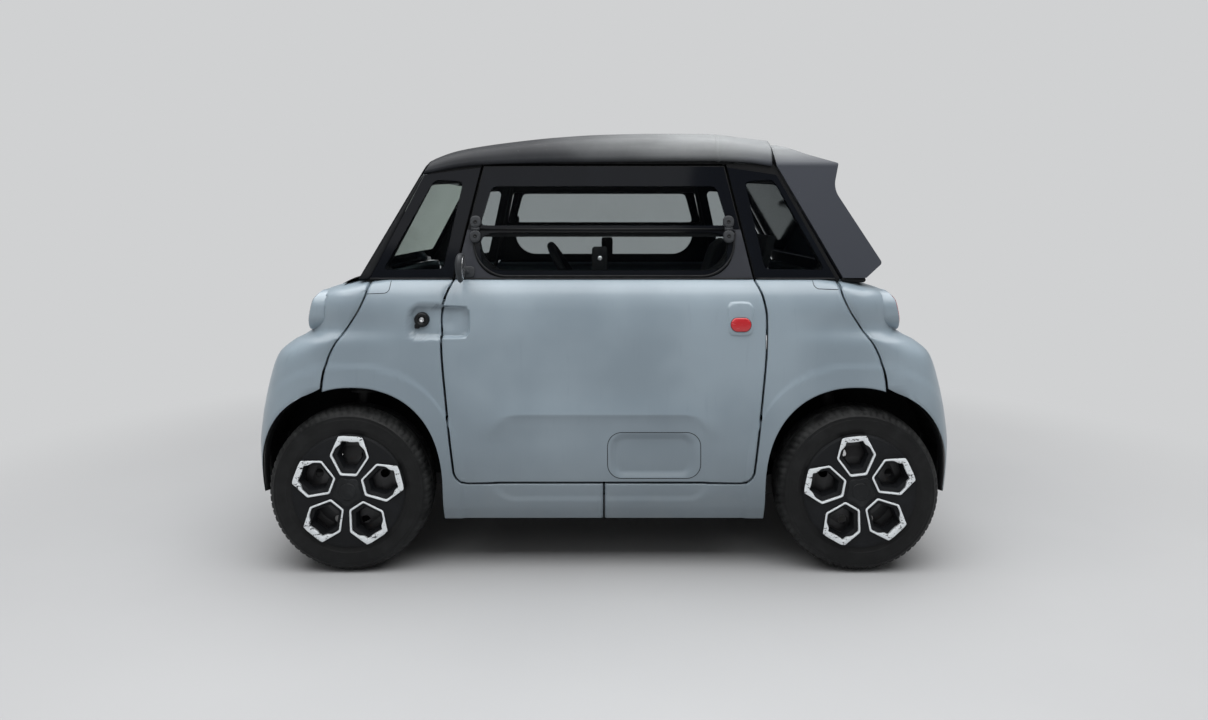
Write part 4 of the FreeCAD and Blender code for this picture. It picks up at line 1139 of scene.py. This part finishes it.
def makeWindowGear(black, grey, bright, rubber):
    blocks = []
    for x in (-447.0, 433.0):
        for low, high in ((1113.0, 1157.0), (1165.0, 1208.0)):
            outline = roundOutline(-19, 19, low - 1160, high - 1160, 17)
            pad = padFrom(outline, [(0, 0.2), (0, 9), (0.8, 11), (2.6, 12.4), (5, 13), (8, 13)])
            blocks.append(onGlass(pad, x, 1160.0))
        for low in (1122.0, 1172.0):
            bar = roundOutline(-12, 12, low - 1160, low - 1157, 1.4)
            mark = padFrom(bar, [(0, 12.9), (0, 13.6), (0.6, 14)])
            blocks.append(onGlass(mark, x, 1160.0))
        pin = tube([glassPoint(x - 14, 1161, 7), glassPoint(x + 14, 1161, 7)], 6.0, 16)
        blocks.append(pin)
    bothSides("flapHinges", joined(blocks), grey, doorBodies, "trim_black")
    screws = []
    for x in (-447.0, 433.0):
        for z in (1137.0, 1186.0):
            head = spun([(0, 13.4), (3.2, 13.2), (4.2, 14.6), (6.4, 14.2), (7.2, 12.6)][::-1], 20)
            screws.append(onGlass(head, x, z))
    bothSides("hingeScrews", joined(screws), black, doorBodies)
    rod = tube([glassPoint(-430, 1161, 5), glassPoint(0, 1160, 5.5), glassPoint(417, 1161, 5)], 3.4, 14)
    bothSides("flapRod", rod, black, doorBodies)
    tab = padFrom(roundOutline(-28, 26, -78, 41, 11), [(0, -21), (0, -7.4), (1.0, -6.2), (3, -5.6)])
    bothSides("latchTab", onGlass(tab, -14, 1062.0), black, doorBodies)
    head = spun([(0, -3.4), (4, -3.6), (7, -4.4), (8, -6)][::-1], 28)
    bothSides("latchScrew", onGlass(head, -14, 1062.0), bright, doorBodies)
    turn = np.radians(np.linspace(-90, 0, 16))
    right = np.stack([338 + 96 * np.cos(turn), 1096 + 96 * np.sin(turn)], axis=1)
    right[:, 0] += (right[:, 1] - 997) * (26 / 160.0)
    line = np.concatenate([[(0, 1000)], right, [(455, 1150)]])
    line = along(np.concatenate([line[::-1] * np.array([-1, 1]), line[1:]]), 110)
    path = np.stack([glassPoint(x, z, 0.6) for x, z in line])
    bothSides("flapSeal", tube(path, 3.6, 8), rubber, doorBodies)


def makeMirrors(grey, bright):
    # a leaf-shaped housing: an ellipsoid pinched to a point below, with its glass facing back
    v = np.linspace(0, np.pi, 29)
    u = np.linspace(0, 2 * np.pi, 48, endpoint=False)
    z = -np.cos(v)
    width = np.sin(v) ** 0.85 * (1 + 0.22 * z)
    x = 17 * width[:, None] * np.cos(u)[None]
    y = 49 * width[:, None] * np.sin(u)[None]
    height = 50 * np.repeat(z[:, None], 48, 1)
    leaf = np.stack([x, y, height], axis=-1)
    leaf[..., 0] = np.minimum(leaf[..., 0], 10.0)
    body = leaf[1:-1].reshape(-1, 3)
    ring = np.arange(48)
    count = len(body)
    poles = np.array([leaf[0, 0], leaf[-1, 0]])
    low = np.stack([np.full(48, count), (ring + 1) % 48, ring], axis=1)
    high = np.stack([np.full(48, count + 1), ring, (ring + 1) % 48], axis=1) + np.array([0, 1, 1]) * 26 * 48
    points = np.concatenate([body, poles]) + np.array([-483.0, -694.0, 1033.0])
    faces = [quads(27, 48, ringed=True), np.concatenate([low, high])]
    stalk = tube([(-484, -650, 1026), (-480, -634, 1018), (-474, -622, 1014), (-470, -619, 1014)], 9.0, 14)
    base = padFrom(roundOutline(-26, 26, -20, 20, 14), [(0, 0.2), (0, 3), (1.2, 4.6), (4, 5.4)])
    part = joined([(points, faces), stalk, onGlass(base, -472.0, 1014.0)])
    glass, sets = spun([(0, 1.2), (0.9, 1.0), (1.0, 0)][::-1], 40, (36.0, 40.0))
    pane = (np.stack([-473.0 + glass[:, 2], -694 + glass[:, 0], 1035 + glass[:, 1]], axis=1), sets)
    stands = (["door_mirror_left"], ["door_mirror_right"])
    mirroredPair("mirror", part, grey, doorBodies, "trim_black", stands)
    mirroredPair("mirrorGlass", pane, bright, doorBodies)


def makeLines(black):
    # shut lines of the small covers under the quarter windows and round the capsule
    capsule = roundOutline(12, 327, 319, 477, 48, 14)
    capsule = along(np.concatenate([capsule, capsule[:1]]), 150)[:-1]
    bothSides("capsuleLine", ribbon(capsule, 2.4, 0.25, True), black, doorBodies)
    turn = np.radians(np.linspace(-90, 0, 9))
    corner = np.stack([-749 + 18 * np.cos(turn), 963 + 18 * np.sin(turn)], axis=1)
    ahead = along(np.concatenate([[(-806, 943)], corner, [(-731, 986)]]), 40)
    behind = along(np.concatenate([[(717, 986)], (corner[::-1] * np.array([-1, 1]) + np.array([-14, 14])),
                                   [(799, 957)]]), 40)
    lines = joined([ribbon(ahead, 2.2, 0.25), ribbon(behind, 2.2, 0.25)])
    bothSides("coverLines", lines, black, rootBodies)


def podFace(z):
    return np.interp(z, [800, 850, 920, 955], [1029, 1021, 1008, 985])


def podRings(insets, depths):
    # rings of a pod's outline in (y, z), each inset and set back from the leaning face
    outline = roundOutline(425, 640, 812, 950, 60, 12)
    middle = outline.mean(axis=0)
    reach = np.linalg.norm(outline - middle, axis=1, keepdims=True)
    rows = []
    for inset, depth in zip(insets, depths):
        flat = middle + (outline - middle) * (1 - inset / reach)
        rows.append(np.stack([podFace(flat[:, 1]) - depth, flat[:, 0], flat[:, 1]], axis=1))
    return np.stack(rows)


def lensFinish(name, colour, glow):
    # clear cover over a lamp; ribs show through as a bump
    f = Finish(name, Coat_Weight=0.4, Coat_Roughness=0.05)
    rib = f.noise(7, 2)
    dim = tuple(0.25 * value for value in colour[:3]) + (1.0,)
    f.colour(f.mix(rib.step(0.3, 0.8), dim, glow))
    f.rough(0.08 + 0.05 * rib)
    f.bump(f.cells(60.0), 0.0002)
    facing = f.add("ShaderNodeLayerWeight", {}, {"Blend": 0.5}, "Facing")
    tint = tuple(value ** 0.5 for value in colour[:3]) + (1.0,)
    f.seeThrough(0.05 + 0.6 * facing ** 5, tint)
    return f.material


def makeLamps(finish, black):
    clear = lensFinish("lensClear", (0.86, 0.88, 0.90, 1.0), (0.4, 0.4, 0.4, 1.0))
    red = lensFinish("lensRed", (0.75, 0.05, 0.06, 1.0), (0.5, 0.06, 0.06, 1.0))
    chrome = brightFinish("reflector")
    housing = podRings([0, 0, 0, 1.2, 3.0, 6.5, 9.0, 9.0], [130, 40, 9.0, 6.6, 5.8, 6.2, 9.0, 40])
    lens = podRings([50, 20, 13, 11, 10.4, 8.2, 8.4, 9.2, 12, 20, 34, 50],
                    [3.3, 3.6, 5, 8, 22, 22, 7, 3.6, 1.4, 0.6, 0.4, 0.3])
    back = podRings([60, 44, 29, 20, 12, 8.6, 8.6, 14, 22, 30, 44, 60],
                    [45, 44, 41, 33, 21, 17, 12, 17, 30, 38, 41, 42])
    for side, name, cover in ((-1, "head", clear), (1, "tail", red)):
        stands = ["head_lamps" if side < 0 else "tail_lamps"]
        pieces = {"Housing": (housing, finish, ()), "Lens": (lens, cover, stands), "Bowl": (back, black, ())}
        for title, (rings, paintIt, replaced) in pieces.items():
            both = []
            for hand in (-1, 1):
                turned = rings * np.array([side, hand, 1])
                flip = side * hand < 0
                if title == "Housing":
                    rows, count = rings.shape[:2]
                    faces = quads(rows + 1, count, ringed=True) % (rows * count)
                    both.append((turned.reshape(-1, 3), faces[:, ::-1] if flip else faces))
                else:
                    both.append(capped(turned, flip))
            part = joined(both)
            makeMesh(name + title, part[0], part[1], paintIt, "root", replaced)
        lights = []
        for hand in (-1, 1):
            for y, z, radius in ((478, 881, 34), (572, 881, 40)):
                bowl = spun([(0, 4), (radius * 0.35, 6), (radius * 0.5, 14), (radius * 0.8, 26), (radius, 30),
                             (radius + 3, 30), (radius + 4, 24), (radius * 0.8 + 4, 20),
                             (radius * 0.5 + 4, 8), (radius * 0.35 + 4, 1), (0, -1)][::-1], 48)
                p = bowl[0]
                turned = np.stack([side * (968 + p[:, 2]), hand * y + p[:, 0], z + p[:, 1]], axis=1)
                lights.append((turned, [f if side > 0 else f[:, ::-1] for f in bowl[1]]))
        part = joined(lights)
        makeMesh(name + "Reflectors", part[0], part[1], chrome, "root")
    print("lamps made", flush=True)


def makeCowls(black):
    # the black strip at the foot of the windscreen, from the bonnet to the glass
    y = np.linspace(-588, 588, 61)
    s = np.linspace(0, 1, 9)[:, None]
    ahead = -np.full(61, 912.0)
    behind = screenPlace(1002, y) + 3
    x = ahead[None] + s * (behind - ahead)[None]
    z = 974.5 + 26 * s ** 1.25 + 5 * np.sin(np.pi * s) + 0 * y[None]
    grid = np.stack([x, np.repeat(y[None], 9, 0), z], axis=-1)
    points, faces = shell(grid, 3.0, np.array([0.0, 0.0, 1.0]), roll=2.0)
    makeMesh("screenCowl", points, faces, black, "root")


def makeSeals(rubber):
    # belt seals between glass and panel, one for each pane's foot
    front = [glassPoint(x, 991, 1.5) for x in np.linspace(-806, -526, 12)]
    rear = [glassPoint(x, 991, 1.5) for x in np.linspace(526, 796, 12)]
    bothSides("quarterSeals", joined([tube(front, 3.2, 8), tube(rear, 3.2, 8)]), rubber, rootBodies)
    middle = [glassPoint(x, 991, 1.5) for x in np.linspace(-508, 508, 24)]
    bothSides("beltSeal", tube(middle, 3.2, 8), rubber, doorBodies)
    # a bulb seal behind the gap round the door's window, and strips behind the belt line's joints
    rise = [(542, 915), (537, 945), (524, 985), (519, 996), (432, 1378), (425, 1386), (413, 1390), (0, 1390)]
    half = along(rise, 60)
    path = np.concatenate([half, (half[::-1] * np.array([-1, 1]))[1:]])
    bulbs = [tube([glassPoint(x, z, -44.5) for x, z in path], 8.5, 12)]
    for ends in ((-822, -530), (530, 812)):
        bulbs.append(tube([glassPoint(x, 988, -12) for x in np.linspace(*ends, 10)], 6, 10))
    bulbs.append(tube([(x, -549, 1395) for x in np.linspace(-452, 458, 20)], 5, 8))
    bothSides("doorBulbs", joined(bulbs), rubber, rootBodies)
    # the rear surround's foot, along its lower edge
    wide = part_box("rear_window_surround")[1][1] / mm - 16
    foot = [(824, -wide, 988), (880, -wide, 986), (902, -wide + 6, 985), (907, -wide + 30, 985),
            (908, 0, 985)]
    foot = foot + [(x, -y, z) for x, y, z in foot[-2::-1]]
    makeMesh("surroundFoot", *tube(along(foot, 90), 8.5, 12), rubber, "root", (), "trim_black")
    inner = tube([glassPoint(x, 988, -12) for x in np.linspace(-505, 505, 24)], 6, 10)
    bothSides("beltBulb", inner, rubber, doorBodies)


def makeDetails():
    black = trimFinish("glossBlack", (11, 13, 15), (27, 29, 32), 0.34, 700.0, 0.00006)
    grey = trimFinish("greyTrim", (48, 50, 53), (74, 76, 79), 0.45, 800.0, 0.0001)
    line = trimFinish("shutLine", (30, 34, 37), (44, 48, 52), 0.6, 500.0, 0.0001)
    bright = brightFinish()
    rubber = gritFinish("sealRubber", (40, 5, 0.6), (15, 16, 18), (42, 43, 45), (0.45, 0.85), 0.6, 0.2,
                        0.0002, Specular_IOR_Level=0.3)
    red = redFinish()
    makeLocks(black, bright)
    makeButton(red, black)
    makeWindowGear(black, grey, bright, rubber)
    makeMirrors(grey, bright)
    makeLines(line)
    makeLamps(bpy.data.materials["bodySatin"], black)
    makeCowls(black)
    makeSeals(rubber)
    print("details made", flush=True)


makeDetails()


# Seats and what shows through the glass

seatLook = {"voxel": 11.5, "pressure": 4.0, "steps": 20, "cap": 14.0, "cushionRows": (250, 335),
            "backRows": (700, 860, 1000), "channel": 5.0}


def rounded(corners, rounds=3):
    # corner cutting: each turn replaces a corner by points at 1/4 and 3/4 of its sides
    points = np.array(corners, float)
    for turn in range(rounds):
        following = np.roll(points, -1, axis=0)
        points = np.stack([0.75 * points + 0.25 * following, 0.25 * points + 0.75 * following], axis=1)
        points = points.reshape(-1, 2)
    return points


def pillow(corners, y0, y1):
    # the side outline carried across, shrinking to its middle at both ends by (1 - u^8)^(1/3),
    # its sides pulled in halfway between the corners
    outline = along(np.concatenate([rounded(corners), rounded(corners)[:1]]), 97)[:-1]
    middle = outline.mean(axis=0)
    u = np.sin(np.linspace(-np.pi / 2, np.pi / 2, 41))
    size = np.maximum(1 - u ** 8, 0.0) ** (1 / 3)
    size = 0.12 + 0.86 * size
    flat = middle + (outline - middle)[None] * size[:, None, None]
    angle = np.arctan2(outline[:, 1] - middle[1], outline[:, 0] - middle[0])
    pull = 1 - 0.02 * np.cos(2 * angle) ** 2
    y = (y0 + y1) / 2 + (y1 - y0) / 2 * u[:, None] * pull[None]
    points = np.stack([flat[..., 0], y, flat[..., 1]], axis=-1).reshape(-1, 3)
    count = len(outline)
    ring = np.arange(count)
    caps = []
    for row, turn in ((0, 1), (40, -1)):
        points = np.concatenate([points, points[row * count:(row + 1) * count].mean(axis=0)[None]])
        tip = np.full(count, len(points) - 1)
        caps.append(np.stack([tip, row * count + (ring + 1) % count, row * count + ring], axis=1)[:, ::turn])
    return points, [quads(41, count, ringed=True), np.concatenate(caps)]


def evaluatedPoints(thing):
    held = thing.evaluated_get(bpy.context.evaluated_depsgraph_get())
    flat = np.zeros(len(held.data.vertices) * 3, np.float32)
    held.data.vertices.foreach_get("co", flat)
    return flat.reshape(-1, 3).astype(float)


def inflate(thing):
    # closed cloth under pressure, without gravity; no point moves further than the cap
    start = evaluatedPoints(thing)
    cloth = thing.modifiers.new("cloth", "CLOTH")
    cloth.settings.quality = 5
    cloth.settings.use_pressure = True
    cloth.settings.uniform_pressure_force = seatLook["pressure"]
    cloth.settings.effector_weights.gravity = 0.0
    cloth.point_cache.frame_start = 1
    cloth.point_cache.frame_end = seatLook["steps"]
    for step in range(1, seatLook["steps"] + 1):
        bpy.context.scene.frame_set(step)
    ended = evaluatedPoints(thing)
    thing.modifiers.remove(cloth)
    bpy.context.scene.frame_set(1)
    moved = ended - start
    size = np.linalg.norm(moved, axis=1, keepdims=True)
    size = np.where(np.isfinite(size), size, 0)
    cap = seatLook["cap"] * mm
    return start + np.where(size > 0, moved / np.maximum(size, 1e-9), 0) * np.minimum(size, cap)


def makePad(name, corners, y0, y1, finish, channels, axis):
    # swollen pad with sewn channels: points sink towards the core by channel exp(-(d / 7)^2)
    points, faces = pillow(corners, y0 + 14, y1 - 14)
    thing = makeMesh(name, points, faces, finish, "root", (), "seat_fabric")
    remesh = thing.modifiers.new("remesh", "REMESH")
    remesh.mode = "VOXEL"
    remesh.voxel_size = seatLook["voxel"] * mm
    remesh.use_smooth_shade = True
    held = bpy.data.meshes.new_from_object(thing.evaluated_get(bpy.context.evaluated_depsgraph_get()))
    thing.modifiers.clear()
    thing.data = held
    thing.data.materials.clear()
    thing.data.materials.append(finish)
    shape = evaluatedPoints(thing)
    shape = inflate(thing)
    middle = (shape.max(axis=0) + shape.min(axis=0)) / 2
    core = shape.copy()
    core[:, 1] = middle[1] + (shape[:, 1] - middle[1]) * 0.8
    order = np.array(rounded(corners)) * mm
    centre = order.mean(axis=0)
    core[:, 0] = centre[0] + (shape[:, 0] - centre[0]) * (0.9 if axis == 0 else 0.5)
    core[:, 2] = centre[1] + (shape[:, 2] - centre[1]) * (0.5 if axis == 0 else 0.9)
    inward = core - shape
    inward /= np.maximum(np.linalg.norm(inward, axis=1, keepdims=True), 1e-9)
    sink = np.zeros(len(shape))
    for place in channels:
        sink += seatLook["channel"] * np.exp(-((shape[:, axis] / mm - place) / 9.0) ** 2)
    for place in (y0 + 62, y1 - 62):
        sink += seatLook["channel"] * np.exp(-((shape[:, 1] / mm - place) / 9.0) ** 2)
    shape = shape + inward * (np.minimum(sink, seatLook["channel"]) * mm)[:, None]
    thing.data.vertices.foreach_set("co", shape.astype(np.float32).ravel())
    thing.data.update()
    finer = thing.modifiers.new("finer", "SUBSURF")
    finer.levels = finer.render_levels = 1
    return thing


def makeSeats():
    weave = fabricFinish()
    cushion = [(-60, 499), (322, 472), (378, 496), (386, 548), (300, 548), (-48, 573)]
    back = [(404, 566), (420, 566), (572, 1116), (536, 1128), (500, 1088), (394, 700), (364, 604)]
    stands = []
    for title, y in (("Left", -300), ("Right", 300)):
        rows = seatLook["cushionRows"]
        stands.append(makePad("cushion" + title, cushion, y - 215, y + 215, weave, rows, 0))
        stands.append(makePad("back" + title, back, y - 205, y + 205, weave, seatLook["backRows"], 2))
    for piece in stands:
        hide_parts("seat_pads")
    print("seats made", flush=True)


def makeInterior(black):
    # the boss of the steering wheel, and the instrument hood on the shelf
    hub = np.array([-118.0, -300.0, 951.0])
    tilt = math.radians(59.3)
    axes = np.array([[math.cos(tilt), 0, -math.sin(tilt)], [0, 1, 0], [math.sin(tilt), 0, math.cos(tilt)]])
    boss = spun([(0, 16), (20, 15.5), (38, 13), (50, 8), (54, 0), (52, -6)][::-1], 64)
    makeMesh("wheelBoss", boss[0] @ axes + hub, boss[1], black, "steering_wheel")
    hood = padFrom(roundOutline(-95, 95, -34, 44, 30, 10),
                   [(0, -60), (0, 0), (1, 3), (3, 4.5), (8, 4.8), (9, -2), (14, -3)])
    turn = math.radians(-22)
    u, v, w = hood[0].T
    points = np.stack([-470 + w * math.cos(turn) - v * math.sin(turn), -300 - u,
                       985 + v * math.cos(turn) + w * math.sin(turn)], axis=1)
    makeMesh("instrumentHood", points, [f[:, ::-1] for f in hood[1]], black, "root")
    print("interior made", flush=True)


makeSeats()
makeInterior(bpy.data.materials["glossBlack"])


# Finishes of the CAD pieces that stay

def dress():
    black = trimFinish("blackTrim")
    trims = frameFinish()
    deep = trimFinish("deepTrim", (9, 10, 12), (20, 21, 23), 0.7, 500.0, 0.0002)
    steel = steelFinish("blackSteel", (22, 23, 25), (46, 46, 47))
    rim = steelFinish("rimSteel", (30, 31, 33), (58, 58, 60), 0.42, 0.35)
    cast = gritFinish("castAlloy", (60, 5, 0.6), (128, 130, 132), (160, 162, 163), (0.3, 0.8), 0.42, 0.25,
                      0.0004, Metallic=0.85)
    finishes = {"cabin_frame": deep, "door_frame_left": trims, "door_frame_right": trims,
                "door_fittings_left": black, "door_fittings_right": black, "door_mirror_left": black,
                "door_mirror_right": black, "wheel_liners": deep, "floor_pan": deep, "chassis_rails": steel,
                "battery_pack": cast, "drive_motor": cast, "front_suspension_arms": steel,
                "rear_axle": steel, "dashboard": black, "steering_column": steel, "seat_shells": black,
                "steering_wheel": black, "steering_rack": steel, "knuckle_left": steel,
                "knuckle_right": steel}
    for end in ("front_left", "front_right", "rear_left", "rear_right"):
        finishes["rim_" + end] = rim
        finishes["wheel_cover_" + end] = black
    for name, finish in finishes.items():
        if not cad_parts[name].hide_render:
            paint(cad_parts[name], finish)
    print("CAD pieces dressed", flush=True)


# Studio

studio = {"floor": (158, 159, 161), "pale": (172, 173, 174), "sky": 0.2, "lamp": 640.0, "fill": 20.0,
          "backdrop": (208, 209, 210)}


def makeStage():
    size = 60.0
    mesh = bpy.data.meshes.new("floor")
    corners = [(-size, -size, 0), (size, -size, 0), (size, size, 0), (-size, size, 0)]
    mesh.from_pydata(corners, [], [(0, 1, 2, 3)])
    floor = bpy.data.objects.new("floor", mesh)
    bpy.context.scene.collection.objects.link(floor)
    f = Finish("floorPaint")
    f.colour(f.mix(f.noise(0.6, 4), linear(*studio["floor"]), linear(*studio["pale"])))
    f.rough(0.55 + 0.2 * f.noise(2, 3))
    # from 1.6 to 3.4 metres out the floor passes into the backdrop's own colour
    x, y, z = f.axes()
    far = ((x * x + y * y) ** 0.5).step(1.6, 3.4)
    glow = f.add("ShaderNodeEmission", {}, {"Color": linear(*studio["backdrop"])})
    f.blend(far, Link(f, f.shader.outputs[0]), glow)
    mesh.materials.append(f.material)
    world = bpy.data.worlds.new("studio")
    world.use_nodes = True
    bpy.context.scene.world = world
    tree = world.node_tree
    light = tree.nodes["Background"]
    light.inputs["Color"].default_value = (1, 1, 1, 1)
    light.inputs["Strength"].default_value = studio["sky"]
    seen = tree.nodes.new("ShaderNodeBackground")
    seen.inputs["Color"].default_value = linear(*studio["backdrop"])
    seen.inputs["Strength"].default_value = 1.0
    path = tree.nodes.new("ShaderNodeLightPath")
    both = tree.nodes.new("ShaderNodeMixShader")
    tree.links.new(path.outputs["Is Camera Ray"], both.inputs[0])
    tree.links.new(light.outputs[0], both.inputs[1])
    tree.links.new(seen.outputs[0], both.inputs[2])
    tree.links.new(both.outputs[0], tree.nodes["World Output"].inputs["Surface"])


def makeLamp(name, place, turn, size, power):
    lamp = bpy.data.lights.new(name, "AREA")
    lamp.shape = "RECTANGLE"
    lamp.size, lamp.size_y = size
    lamp.energy = power
    thing = bpy.data.objects.new(name, lamp)
    thing.location = place
    thing.rotation_euler = [math.radians(a) for a in turn]
    bpy.context.scene.collection.objects.link(thing)


def makeCamera():
    eye = bpy.data.cameras.new("eye")
    eye.lens = 25.33
    eye.sensor_width = 36.0
    eye.shift_y = -0.121
    thing = bpy.data.objects.new("eye", eye)
    thing.location = (0.0, -3.555, 1.215)
    thing.rotation_euler = (math.radians(90), 0, 0)
    bpy.context.scene.collection.objects.link(thing)
    bpy.context.scene.camera = thing


dress()
makeStage()
makeLamp("overhead", (0.2, -1.2, 4.6), (0, 0, 0), (9.0, 6.5), studio["lamp"])
makeLamp("front", (-1.5, -5.5, 3.4), (60, 0, -15), (5.0, 2.0), studio["fill"])
makeCamera()
bpy.context.scene.view_settings.view_transform = "Standard"
